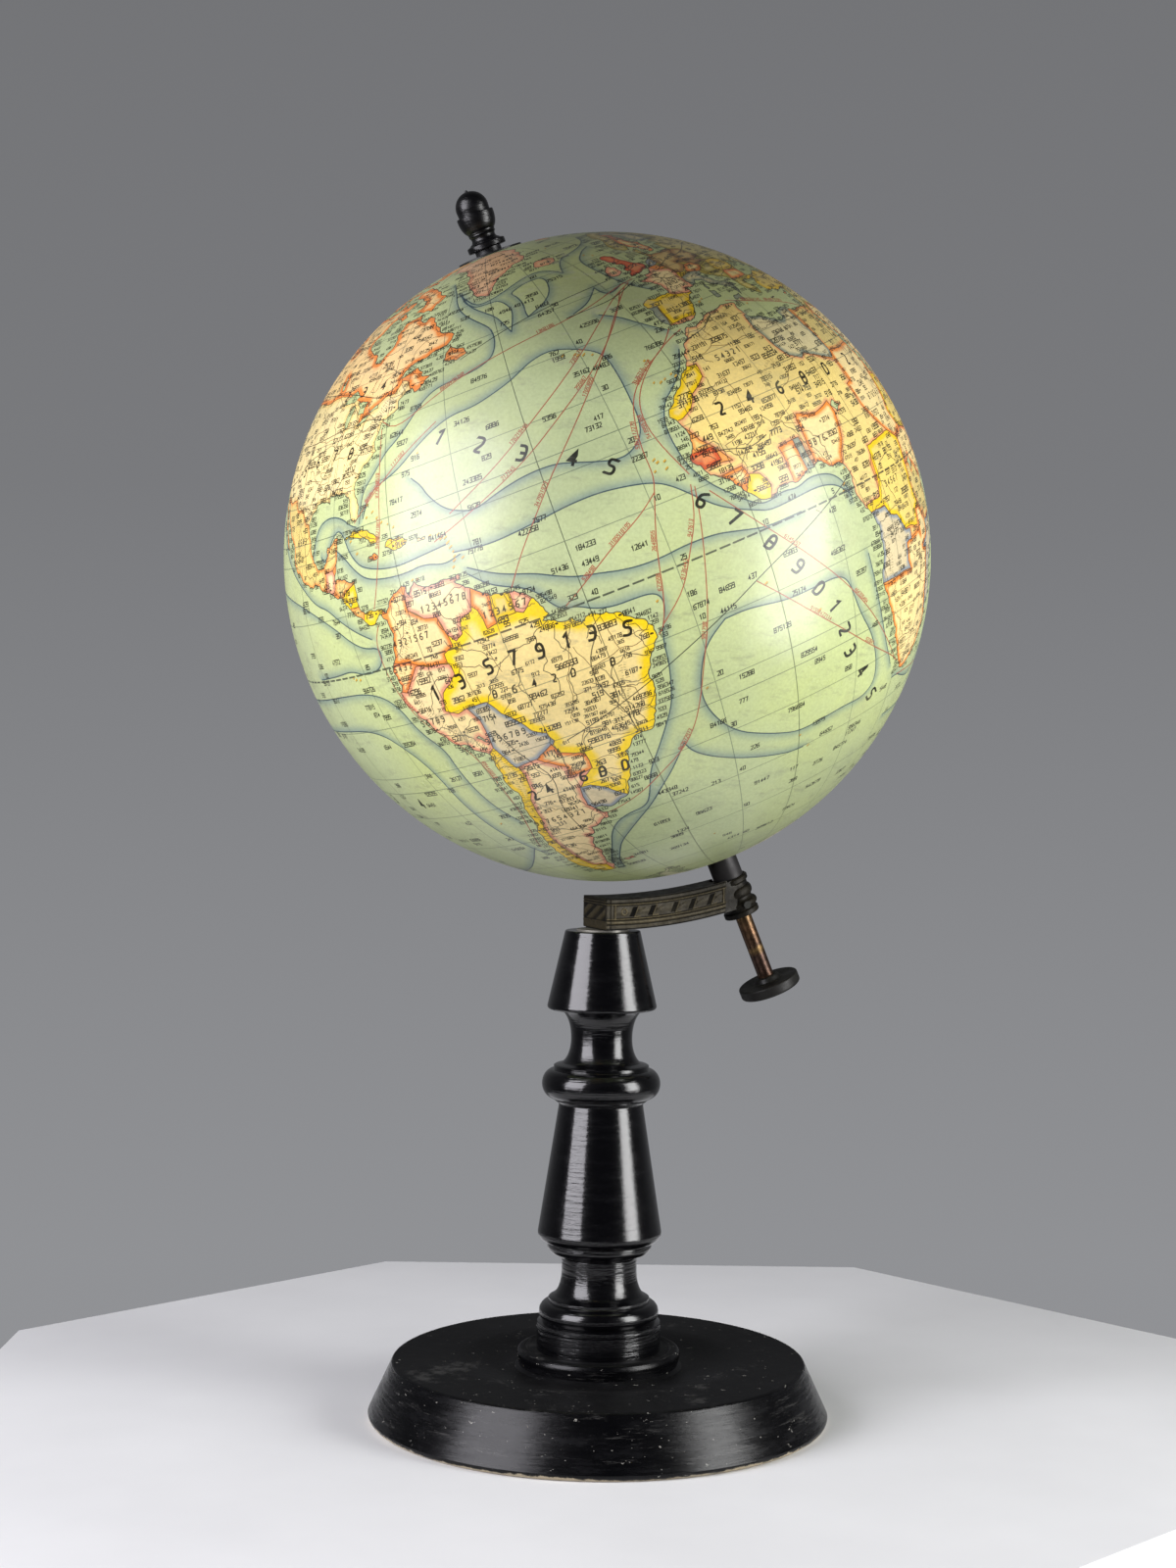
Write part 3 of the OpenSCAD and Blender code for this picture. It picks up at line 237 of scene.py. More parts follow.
# Each country, in the order it is painted: a tint and an outline that may run out to sea
COUNTRIES = """
rose -141,72 -141,60.3 -137,58.8 -133,56 -130,54.8 -135,52 -180,50 -180,72
cream -125,48.6 -123,49.2 -110,49.2 -95,49.2 -89,48.2 -84.5,46.6 -82.5,45 -82.6,42 -79,43 \
-76.5,44.2 -74.8,45.2 -71.5,45.2 -69.3,47.3 -67.8,46.8 -66.8,45 -64,42 -74,30 -79.5,24 -84,24 \
-90,27.5 -96.5,26 -99.3,27 -101.5,29.6 -104.4,29.6 -106.6,31.7 -111,31.3 -114.8,32.5 \
-117.3,32.5 -128,35 -128,45
peach -117.3,32.5 -114.8,32.5 -111,31.3 -106.6,31.7 -104.4,29.6 -101.5,29.6 -99.3,27 -96,25.9 \
-90,24 -85,23.6 -86,20 -88.3,18.4 -89.2,17.8 -91,17.8 -92.2,15 -93,13 -120,15
rose -92.2,13 -91.5,17.8 -89.2,17.9 -88,15.8 -89.5,14.4 -90,13
peach -89.4,14.4 -88.2,16.5 -83,15.8 -82.8,14.9 -86,13.8 -87.6,12.8
yellow -87.9,12.6 -86,13.9 -82.6,15.2 -82,12 -83.7,10.9 -85.8,10.8
peach -86.4,11 -83.6,10.9 -82,9.6 -83,8 -86,9
yellow -83.2,7.6 -82.4,9.8 -79,10.5 -77.2,8.8 -77.8,6.8 -81,6.5
rose -69,-21.8 -62,-21.8 -57.8,-24.6 -53.6,-25.6 -53.9,-27.2 -55.8,-28.4 -57.7,-30.3 \
-58.4,-34.2 -54,-37 -60,-50 -65,-58 -80,-58 -80,-22
yellow -68,-18.6 -67.6,-20 -66.2,-23 -66,-24.6 -67,-28 -68.7,-30 -69.5,-32.5 -70,-34.6 \
-71.6,-37 -72.6,-40 -73,-45 -73.6,-49 -73.4,-52 -70,-53 -71,-57 -84,-58 -84,-30 -71,-18.4
lilac -69,-10 -65,-10 -63.5,-12.5 -61.5,-14.5 -60,-17 -57.8,-18.2 -57.2,-20 -58.5,-21.3 \
-62,-22.3 -66.6,-22.8 -67.4,-20.6 -68.4,-18 -68,-16 -67.8,-12.6
orange -62,-22.4 -58,-20.4 -57.5,-22.4 -53.4,-24 -53.6,-27.2 -58.2,-27.4 -57.8,-25.4
lilac -57.9,-30.2 -55.8,-30.4 -53.2,-32 -50.2,-34.9 -52,-38 -57,-37 -58.8,-34.4
rose -82.5,-3.8 -79.2,-4.6 -77.3,-3.2 -75,-0.8 -72.6,-1.6 -68.4,-2.2 -68.2,-4 -72,-6.5 \
-73.2,-9.5 -71,-10.5 -69,-10 -67.8,-12.6 -68,-16 -68.4,-18 -69.9,-19 -78,-18
coral -82,1.2 -78.6,1 -76,0.2 -72.6,-1.4 -75,-1 -77.5,-3.4 -79.2,-4.8 -82,-4
orange -78,9 -75,12 -71.2,12.5 -72.3,10.8 -72.6,8 -70,6 -67.5,5.6 -66.8,2.8 -66.4,0.4 -68.6,-0.4 \
-68.6,-2 -72.5,-1.5 -76,0 -80,0.6 -79,8
rose -71.4,12.6 -72.3,10.8 -72.6,8 -70,6 -67.5,5.6 -66.8,2.6 -65.5,1 -64,1.8 -63.5,4 -61,4.8 \
-60.4,7 -59.8,9 -61,11.5
orange -60,9 -57.2,6.6 -57.4,4 -57.5,1.6 -59.5,1.2 -60,4.5 -60.8,5.4
yellow -57.2,6.8 -54,6.6 -54,2.2 -57.5,1.8
rose -54,6.8 -50.2,4 -51.4,3 -52.8,1.8 -54,2.4
grey -10,37 -7,37 -6.6,39 -6.2,42 -8.6,42.4 -10,42
yellow -6.8,36 -6.4,39 -6,42.2 -9,42.4 -9,45 -0.4,44.4 0.4,43.2 4.6,42.4 5,40 0,36
rose -5,50 0,50.6 3.4,51.6 5,50.2 8,49.4 9.4,47.8 7.4,46 8.6,44 4,42.4 0.4,43.2 -1,44.2 -4,47
orange 3.2,51.8 6.6,51.4 8.2,50 5,50
lilac 4.4,53 8.4,53.8 8.4,52 6.4,51.4 3.4,51.6
brown 8.2,53.8 8.4,55 12,55 20,55.4 20.8,54.4 16.6,52 16,50.6 13.4,50.4 14,49 11,47.6 8.2,47.6 \
8,49.4 8.2,52
yellow 7.2,46 8,47.8 11.2,47.2 10.6,46.2
grey 7.2,43.6 7.4,46.2 11,46.8 14.8,46.4 14,45 20,40 17,36 12,36 8,38 8,42
orange 11.2,47.2 14,49 18,49 18,47.2 15,46.2
brown 13.4,50.4 16,50.6 20,49.4 24,48.4 18,48
olive 15.6,46.2 18,47.4 22.6,48.2 23,46 21,44.6 16,45
yellow 22.8,48.2 28,48 29.6,45.4 28,43.8 22.6,44.4 21,45.4
orange 19.6,40.6 22,44.4 28,43.6 27.6,41.6 24,41.6
olive 19.4,42 23,41.6 26,41 24.6,34 20,36
yellow 26,41 30,41.8 42,41.6 45,39.4 44,37 36,35.8 26,36
brown 16,50.6 16.8,52 20.8,54.4 24,53.6 24.4,50 20,49.4
olive 4,58 8,63 14,67 22,71.5 30,71.5 29,69 22,68 16,64 12,61 12,58 8,57
orange 12,61 16,64 22,68 24,66 18,62 20,58 15,54.8 12,57
grey 22,68 29,69 31,63 28,60 20,59.4 20,63 25,66
orange 34,29 39,32 46,30 48.6,28 51,24 60,23 57,18 44,11 36,24
peach 44,39 48,38.6 54,37 61,36 61.6,26 57,24 48,29 45,34
grey 61,36 66,38 74,37.4 71,34 68,31 62,29
coral 62,29 68,31 71,34 75,37 78,32 88,27.4 97,28 94,24 92,20 88,20 82,5 76,5 70,19 61,24
yellow 75,37 74,40 80,44 87,49 91,46 98,42.6 106,41.6 112,44 120,50 126,53 134,48 130,42.6 \
124,40 124,20 108,17 102,21.6 98,28 88,27.6 78,32
rose 87,49 92,50.8 104,51.4 117,49.6 120,46 112,43.8 106,41.6 98,42.6 91,45.4
coral 92,20 94,24 97,28 101,21.6 98,15 98,9 94,14
grey 98,16 101,20 105,15 102,12 100,6 98,8
rose 101,21.6 108,21.6 110,12 104,8 102.6,12 105,15 101,19.4
coral 99,6.4 102,6 105,1 102,0
coral 124,40 130,43 131,34 125,33
sand -12,12 -19,12.4 -19,37.6 12,38 11,34 9.4,31 10.2,27 11.6,24.2 14.6,22.8 16,23.6 23.8,20 \
24,8.6 \
27.6,5.4 18.6,5 16,2 15.8,-4 12,-4.8 6,-4 9,4 1,3 -10,4 -12,8 -19,10 -19,22
yellow -12,29.6 -8.4,28.9 -8.8,26.6 -12.6,24.4 -14.4,22.2 -16.6,21.2 -20,21 -16,27
red -20,15.4 -14,15.2 -13.8,12.7 -19,12.2
orange -15,10.4 -11,10.6 -10.4,8.4 -12.2,6
yellow -12.2,6.4 -10.3,9 -8.6,8.4 -7.4,6 -8.6,3.4 -11,4
orange -3,11 0.4,11.2 1,6 0.5,4 -3.2,4.4
grey 0.4,11.2 1.8,11.2 2.2,5 0.6,5
orange 3.3,13.8 4,14.8 8,13.6 12.8,14.6 13.2,12.4 11.4,8 9.4,5.8 8.6,3.8 3,4 2.8,9
grey 10.2,34 9.4,31 10.2,27 11.6,24.2 14.6,22.8 16,23.6 23.8,20.6 25,22 25,34
peach 25,34 25,22 37,22 35.6,28 34.5,32.5
orange 24.2,20.2 25,22 37.4,22 38.6,18 36.6,15.4 35.8,12 34,9 35.8,5 30.8,3.8 27.6,5.4 24.2,8.6 \
22.4,11.4 22,15.6 24,16
yellow 36.8,15.2 39.8,14.8 42.4,12 43,9.4 47.8,8 44.8,5 41.8,4 36,4.6 33.2,8.2 36,12
coral 40,4 45,5 48,8 43,9.4 42.2,12 45,12 52,13 50,6 42,-2.4
coral 30.8,3.8 35.8,5 41.8,4 41.4,-1.8 39.3,-4.8 34,-1 29.6,-1
peach 29.6,-1 34,-1 39.3,-4.8 41,-10.5 34.8,-11.6 31,-8.4 29.4,-4.4
lilac 34.8,-11.6 42,-10.6 41.5,-16 35.6,-27 32,-26.8 31.6,-22.4 33,-16 30.4,-15.6 34.6,-14
orange 9,-17.4 18.4,-17.4 22.4,-17.6 21.4,-16 21.6,-13 24,-12.6 28.6,-12.2 29.6,-13.4 \
28.8,-8.6 31,-8.4 34.6,-11.6 34.6,-14 30.4,-15.6 33,-16 31.6,-22.4 32,-26.8 34,-28 24,-38 12,-30
yellow 17.4,5 22.6,5.4 27.4,5.6 30.8,3.6 29.6,-1 29.3,-4.5 30.6,-8.4 28.6,-8.6 28.4,-11.4 \
24.6,-10.6 22,-10.6 19.6,-8 17.4,-7 16,-5 11,-5 11,-3.6 15.4,-3.4 16.4,-1.2 16.8,2
lilac 10,-5.2 16,-5.2 17.4,-7 19.6,-7.6 22,-10.8 24,-11 24,-12.8 21.6,-13 21.4,-16 22.4,-17.6 \
18.4,-17.2 10,-17.2
rose 43,-11 51,-11 51,-26 43,-26
orange 112,-10 128,-15 128.9,-33 112,-36
peach 129,-10 138,-14 138,-26 129,-26
yellow 129,-26 141,-26 141,-39 129,-33
orange 138,-14 141,-10 147,-15 154,-28.5 149,-29 141,-29
rose 141,-29 149,-29 154,-28.5 151,-37.5 147,-36 141,-34
grey 131,0 141,-2 141,-9.4 137,-9
"""
# The tint of land that no country covers; the rest is amber
OWN_TINT = {"greenland": "salmon", "iceland": "salmon", "cuba": "yellow", "haiti": "yellow",
            "porto": "cream", "jamaica": "orange", "africa": "peach", "madagascar": "rose",
            "eurasia": "olive", "britain": "red", "ireland": "rose", "australia": "orange",
            "antarctica": "plain", "south_america": "brazil", "falkland": "red"}
# The hand-coloured border of each tint, and the paler wash inside it
TINTS = {"orange": ("EA8A38", "F0D898"), "yellow": ("E9C41C", "E8CE74"),
         "cream": ("E9CC88", "EBD8A2"), "peach": ("E29850", "DFC97C"),
         "rose": ("E09C7C", "F0DAA2"), "coral": ("E48448", "F0D696"),
         "lilac": ("8F979A", "D6C79E"), "grey": ("8E9684", "DFD2A0"),
         "red": ("CA5630", "DE8C58"), "salmon": ("DE9E7C", "E6BC94"),
         "brown": ("A87C44", "D0B478"), "olive": ("AEA03E", "D8CA88"),
         "plain": ("CFCFA8", "D8D5B0"), "sand": ("E0A070", "E6CE82"),
         "brazil": ("F6D21C", "F4DC92"), "amber": ("E88C44", "F4D294")}
# How wide the border is in millimetres, where it isn't 0.9
BAND = {"brazil": 2.1, "yellow": 1.3, "amber": 1.6, "peach": 0.6, "coral": 0.7, "sand": 0.4}
SEA = linear("BAC692")
CURRENT = linear("6A8488")

# Ocean currents: the side that is shaded, l for left or r for right, and then the line
CURRENTS = """
l -80,24 -79.4,27 -78.4,29.4 -75.5,31.6 -72.5,34.6 -70,35.8 -67,38 -64.5,40.2 -62,42 -59,43 \
-55,43.2 -51,43.4 -47.5,44 -45,45.2 -43.7,48 -44,51 -45.5,52.7 -49,55.5 -52.5,58.5 -54.7,62 \
-56,66 -59,70
r -53.5,64.8 -51,61 -48.5,58.5 -45,56 -42,53.7 -40.5,51 -39.3,48.7
r -39.3,48.7 -38,51.5 -37.2,54 -38.5,56.5 -40.5,58 -43.5,58.2 -47.5,58.5 -49.2,59.5 -51.5,61.2 \
-53.5,64.4
r -54.5,65 -49,60.2 -46.5,58.8 -42.5,59 -39,59.7 -35,60.7 -31,61.7 -27,62.2 -24,62.2 -21.5,61.5 \
-19,60.2 -17.6,58.7
r -17.6,58.7 -16.5,60.7 -15,62.2 -13,63.5 -10,64.2 -6,64.8 0,65.8 8,68 14,71
r -34,50.7 -30,52 -27,53.5 -25,55.5 -23.9,58 -24.2,59.5 -26,60.2 -30,60.1 -33,59.5 -36,58.6 \
-34.5,57 -33.7,54.5 -34.2,52 -34,50.7
l -24,47.2 -20,48.2 -17.5,49.5 -14.7,51.5
l -14.7,51.5 -14.2,49.7 -12.7,48.7 -10,49.2 -8,50
l 2,64.8 -2,64 -6,62.4 -8.4,61 -9.5,59 -9.2,55.5 -8,51.5 -6,48.5 -3,46
r -19,45 -15.5,43 -13.2,40.7 -10.7,38.5 -8.4,36.8
r -9.4,32.6 -12,29 -15.5,26.5 -18,25 -19.8,22 -20.2,19 -19.8,14.5 -18.5,11.6 -16.6,9 -14,6.6 \
-12,4.7 -9.6,3.6 -6,4.4 -3,3.8 0,4.6 3,4.3 5.6,3.3 7.4,1.2 7.8,-1.5
r -66.6,28.4 -64.7,26.7 -63.5,24.5 -60.6,21.4 -57,20 -55,19.7 -50,21.2 -45,22.1 -40,22.1 \
-37,21.2 -33.5,20 -30,19 -27.5,19.2 -24.7,21 -23.5,24 -23.2,28.5 -23,32 -23.2,36.5 -25,38.5 \
-28,40 -31,41.2 -34,41.6 -37.5,41 -40,40 -43,38.7 -47.5,37.5 -51.5,36.7 -56,36.7 -60,35.7 \
-65,33.4 -69,31 -72,29.9 -75,29.2 -77.4,27.6 -79,24.6
l -61,14.4 -55,13.7 -50,14 -45,14.5 -40,15.1 -35,15.2 -30,14.5 -26,13.5 -23.5,12 -20.5,9 \
-18,6.5 -15,4.7 -12,3.4 -9.5,2.4 -5,2.5 0,2.7 3,2.4 5.5,1.5 7.5,-0.4
r -59.4,11.4 -56,9.5 -53,8.2 -49,7 -46,5.5 -43,4.2 -39.5,3.5 -35,2.4 -30,2.1 -25,2.6 -20,2.4 \
-17,1.7 -14,0.9 -11,0.2 -4,0.2
l -59.6,10.4 -57,8 -54.5,6.7 -51.5,5.5 -49.5,4 -48,1.5 -46.6,0.2 -44.4,-0.1 -42,-1.5 -39,-2.2 \
-35.5,-2.2 -32.7,-2.4 -31.5,-3.5 -31.6,-5.5 -33,-8 -33.7,-10.5 -34,-14 -35,-18 -36,-21 -38,-24 \
-41,-28 -44,-31.5 -46,-36 -48,-39 -52.5,-39.4 -56,-40.6 -59,-43 -62,-47 -65,-50 -68,-53 -69,-56
r -36.2,-28.7 -40,-33 -43.5,-36 -47,-39 -51,-41.5 -55,-44 -59,-46.5 -62,-49.5 -65,-52.6 -67,-56
l -36.2,-28.7 -35.5,-30.5 -33.5,-32.5 -30,-34.7 -25,-37 -20,-38.7 -15,-40 -11.5,-40.2
l -23,-10.7 -19.5,-10.6 -16,-11.1 -13,-11.7 -10,-12 -5,-12 -1,-12 1,-12.7 2.2,-14.5 3,-17.5 \
4.2,-20.5 6.5,-24 8,-27.5 9,-31 9,-33.7 7.5,-35.2 4.5,-36 0,-35.7 -5,-35.9 -10,-36.2 \
-13.5,-36 -17.5,-34.7 -21.5,-33 -25,-31.2 -27.5,-29 -29.2,-26.5 -30.4,-23.5 -30.5,-20.5 \
-29.5,-17.5 -28,-14.5 -26,-12.5 -23,-10.7
r 8.2,-11 8.6,-15 10,-22.5 12,-28 15,-32.6
l 17.5,-36 20,-35.9 24,-37.3 30,-38.4 36,-36 40,-30 42,-24
r -96,20.6 -94.6,23.6 -93.2,25.4 -91,26.4 -88,26.6 -85,25.8 -82.6,24.2 -81,23.6
l -92.6,20.6 -91.6,19.4 -90,20.6 -89.2,22 -87.4,23.6 -86,24 -84.6,22.6 -83.6,20 -81.5,17.5 \
-79.5,16.5 -76,15.6 -72,15.2 -67,15.6 -62,16
r -87.6,21 -85.4,19.6 -82.5,16.6 -80,14.8 -76,14 -71,13.7 -67,14.2 -63,13 -60,13.8
l -122,34 -118,30 -113,24 -106.5,19 -101.5,16 -97,13 -93,11.8 -90,9.6 -86,7 -82.5,5.2
r -120,16 -112,15 -104,13.4 -98,11.4 -92,8.5 -88,5.5 -85,4 -81.4,3.6 -81.6,1.5 -83.5,0 -87.5,-0.2 \
-91,1 -96,0.6 -104,0.4
l -75,-34 -77,-30 -78,-25 -78.2,-20 -78,-16 -81,-12 -83,-6 -88,-3.4 -96,-3 -110,-3.4 -130,-4
r -79.6,-44 -83,-36 -84,-28 -84,-20 -86.5,-15 -92,-10 -104,-9.4 -124,-10 -150,-11 -170,-12
l -180,12 -160,11 -140,11.4 -124,13
r -180,20 -160,20 -142,20.6 -128,24 -124,30 -126,38 -134,42 -150,44 -170,43 -180,42
l 122,13 125,20 124,26 128,31 136,34.4 142,37.4 150,41 162,44 180,45
r 124,11 129,17 128.6,24 132,29 139,32.4 146,35 156,38.6 168,40.4 180,41
l 180,12 160,11.6 140,12 128,12.6
r 150,-10 154,-20 156,-28 155,-36 160,-42 172,-46 180,-47
l 44,-3 52,-8 52,-16 48.6,-28 40,-34 32,-40
r 50,-2 60,-7 76,-9.6 94,-12 106,-14
l 100,-14 84,-16 66,-18.6 58,-26 62,-34 76,-38 96,-38 108,-34 110,-26 104,-18 96,-14.6
l 62,8 70,6 78,3.6 90,4 95,6
r 52,6 58,12 66,17 70,13 74,8
r 20,-44 50,-45 80,-46 110,-47 140,-49 170,-53 180,-54
l -180,-54 -150,-55 -120,-54 -96,-50 -86,-46 -80,-42
"""
# Steamer routes, in red
ROUTES = """
-74,40.4 -70,38 -60,41.5 -50,44 -40,45.4 -30,46.2 -20,47.3 -10,49.6 -4,50.2
-60,20.5 -50,25 -40,31 -30,37 -20,43.5 -13,47.5 -6,49.6
-64,17 -57,19.2 -45,24 -35,30 -25,36 -15,44 -10,48.5
-53.6,5.6 -50,10.5 -46,15 -41.5,20 -40,21.5 -30,31 -23,37.5 -15,44.6 -8,49
-26.5,12 -25.5,14.5 -25.5,19.5 -24,25.5 -21.5,29 -17,32 -12,34 -8,37
-20,12.6 -22.6,19.4 -23,24.5 -21,28.5 -16,32.4 -10,35 -6,36
-26.5,12 -28.5,7 -30,2 -31,-3 -32.7,-8 -34,-9
-20.5,11 -22,6 -25,1 -28,-4 -32.6,-7.6
-20,10.5 -21.5,4.5 -24,-4 -26,-10.5 -28.5,-16 -31,-22 -33.5,-26.5 -37,-30 -42.5,-33 -47.5,-35.6 \
-54,-37.4 -57,-37.6
-46,0.5 -44,1.6 -40,4 -35,7 -30,9.5 -26.5,12
-16,-7 -7,-16 -1,-21 5,-25.5 10,-28.5 15,-31 18.4,-33
-18,9 -12,1 -4,-8 4,-17 12,-27 17,-32.4
-74,39 -74,33 -74.6,26 -75,21 -78,13 -79.8,9.8
-81.4,24.4 -76,28 -68,33 -60,36.6
-80,7 -82,4 -81.6,-4 -79,-11 -73,-17 -72,-25 -73,-33 -78,-42
10,38 18,35.6 26,33.6 32,31.6
36,22 42,14 48,12.6 60,12 72,15 79,6.6 90,6 97,5.8
79,6.6 90,-8 104,-24 114,-33
104,1.4 110,10 114,21 121,30 128,33
-124,38 -140,34 -158,22 -176,4 -180,0
180,0 172,-16 164,-26 152,-33.6
140,34 160,43 180,48
-180,48 -160,50 -140,50 -126,48.6
20,-36 50,-38 80,-39 116,-36 132,-37 146,-39.6
"""
# Telegraph cables and railways
CABLES = """
-55,-20.6 -50,-19.5 -40,-16.5 -32,-13.5 -23,-10 -15,-6.5 -5,-3 5,0.6 10,2.6
-26,46.9 -20,47 -13,47.2 -4,49.6
-53,47 -40,50 -24,51.6 -10,52
-43,-5 -46,-9 -46,-14 -43.4,-19 -43,-23.4
-64,-39 -64,-33 -61,-27 -63,-23 -65,-19 -66.4,-15
-74,40.8 -79,42 -84,41.6 -88,41.8 -95,41.3 -105,41 -112,41.4 -121,38.6
-76,39.2 -80,36 -84,33.8 -87,31 -90,30
-88,41.8 -90,38.6 -92,34.8 -95,32.6 -98,29.4 -100,25.6 -99,19.6
-71,46.8 -76,45.4 -80,46.4 -88,48.6 -97,49.8 -105,50.4 -114,51 -122,50
-95,39 -104,38 -109,35 -118,34.2
20,-34 24,-30 27,-26 28,-20 28,-15
32,30 32,25.6 32.6,21 34,18 32.6,15.6
3,36.6 -1,34.6 -5,34 -7.4,33.4
-17,14.8 -12,14 -8,12.6 -4,13.6
0,49 5,47 7.6,44 12,42
5,50 13,52.4 21,52.2 37,55.8 50,53.4 61,55 73,55 83,55 92,56 104,52.4 114,52 128,51 131.6,43.4
29,41 35,39 38,37 43,36.4 44.4,33
73,19 79,23 85,25.4 88,22.8
72.8,19 78,17.6 80.2,13.2
116,40 114,34.6 114,30.6 113.2,23.2
138,-35 142,-37 145,-37.8 147.6,-35.4 151,-33.8 152,-28 150,-23.4
"""
# Rivers
RIVERS = """
-49.6,-0.6 -52.4,-1.8 -55.6,-3.2 -58.8,-4.2 -61.8,-4.8 -65,-3.6 -68.6,-4.4 -72,-4 -74.4,-6 -75.6,-9
-59.6,-4.4 -61.6,-6.6 -63.6,-8.8 -65.4,-10.6 -65.6,-14
-60,-4 -62,-1.8 -65,-0.6 -67.6,1.6
-52.6,-2.2 -52,-5 -53.4,-8 -52,-11.4 -54,-14
-56,-3.4 -57.6,-6 -58.4,-9 -57,-12.4
-49,-2 -49.2,-5.4 -48.2,-8.6 -50,-12 -51.6,-15.6
-36.6,-11.6 -40,-9.6 -42.6,-11 -43.8,-14.4 -44.6,-18.4
-58.6,-34.8 -60,-32.4 -59.2,-28.6 -57.8,-25.4 -57.6,-21.6 -57.6,-17.6
-58.8,-27.6 -55.8,-27.2 -54.2,-25 -52.6,-22 -49.8,-20.4
-61,9 -64,8.4 -67,7.2 -67.8,4.6 -66.4,2.6
-74.8,11 -74.4,8.4 -74.8,5 -76,2.4
-62.2,-41 -65,-39.4 -68,-38.4 -70.2,-38
-89.4,29.2 -91,32 -90,35.6 -89.6,38 -91.6,41.6 -93.4,45
-89.8,37.6 -86.6,38.2 -83.6,38.8 -80.4,40.4
-90.2,38.9 -94.6,39.2 -96.6,42.4 -100.6,45.4 -105,47.8 -110,46.6
-91.2,33.6 -95,35.4 -99,37.6 -104.4,38.4
-97,25.8 -99.6,27.6 -102.4,29.6 -105.4,31.2 -106.4,35.4
-66.6,49.8 -70.8,47.4 -73.6,45.6 -76.4,44.4
-135,69 -130,66.4 -125.4,64.6 -122,61.8
-165,62.6 -158,62.4 -152,65 -144,66.2 -139,64
-122,49 -120,46.4 -118,48.4 -117,51
12,-5.6 15.4,-4.2 17,-1 19.6,1.8 23.4,2 25.6,0 26,-4 27,-8 26.4,-11
17,-1.2 19.6,-3.6 20.6,-7.4 20.6,-10
30.8,31.2 31.6,27.4 32.8,24 31.6,20 33.2,17.4 32.6,13 31,9.6 31.6,5 31.8,1
32.6,15.6 34.6,12.8 37.4,11.6
6,4.6 6.4,8 4.6,11.4 0.4,14.6 -2.8,16.6 -6,14.2 -9.6,11.2
-17,15.6 -13.6,16 -11.6,13.4 -10.4,11.2
17,-29 20.4,-28.6 24.4,-28.8 28,-29.6
35.4,-18.8 33,-16.4 28.6,-16.2 25.6,-17.8 23,-14.6
33.4,-25 30.6,-22.2 27.4,-23.4
13,12.8 15.4,10 17,8.6
-2,47.4 1.4,47.6 4.4,46.4
6.4,52 8.4,50 8.6,47.6
30,45.4 26,44 21,45 19.4,47.8 13,48.8
30.6,46.6 34.6,48.4 31.4,51.4 32,54.6
48.4,45.6 45,48.6 47.4,52 49.4,55.6 43,56.4 36,57
39,47.2 42.6,48 40,51 38.8,53
73,67 66,63.6 69,60 74,56.8 80,53.4
82,72 87,67 90,61 93,56 94,52
126,72.6 123,68 129,63 121,60 110,57
141,52.8 137,49.4 131,48.2 126,51 121,53
121.6,31.4 117,30.6 112,29.8 106,29.2 101,27 97,33
118.6,37.6 114,35 110.4,36 109,40 103.6,36
90.6,23 89,25 95,27.6 88,29.2 82,30.4
89,23.4 84,25.6 79,28.4
67.6,24.2 69.4,28 72,32.4 78,33.4
48.4,30 46,31.4 43,34 39,37
94.8,16.4 95,20 97,25
106,10 105,14 102,18 100,22
139.4,-35.6 142,-34 146.6,-36 142,-30 146,-26
"""
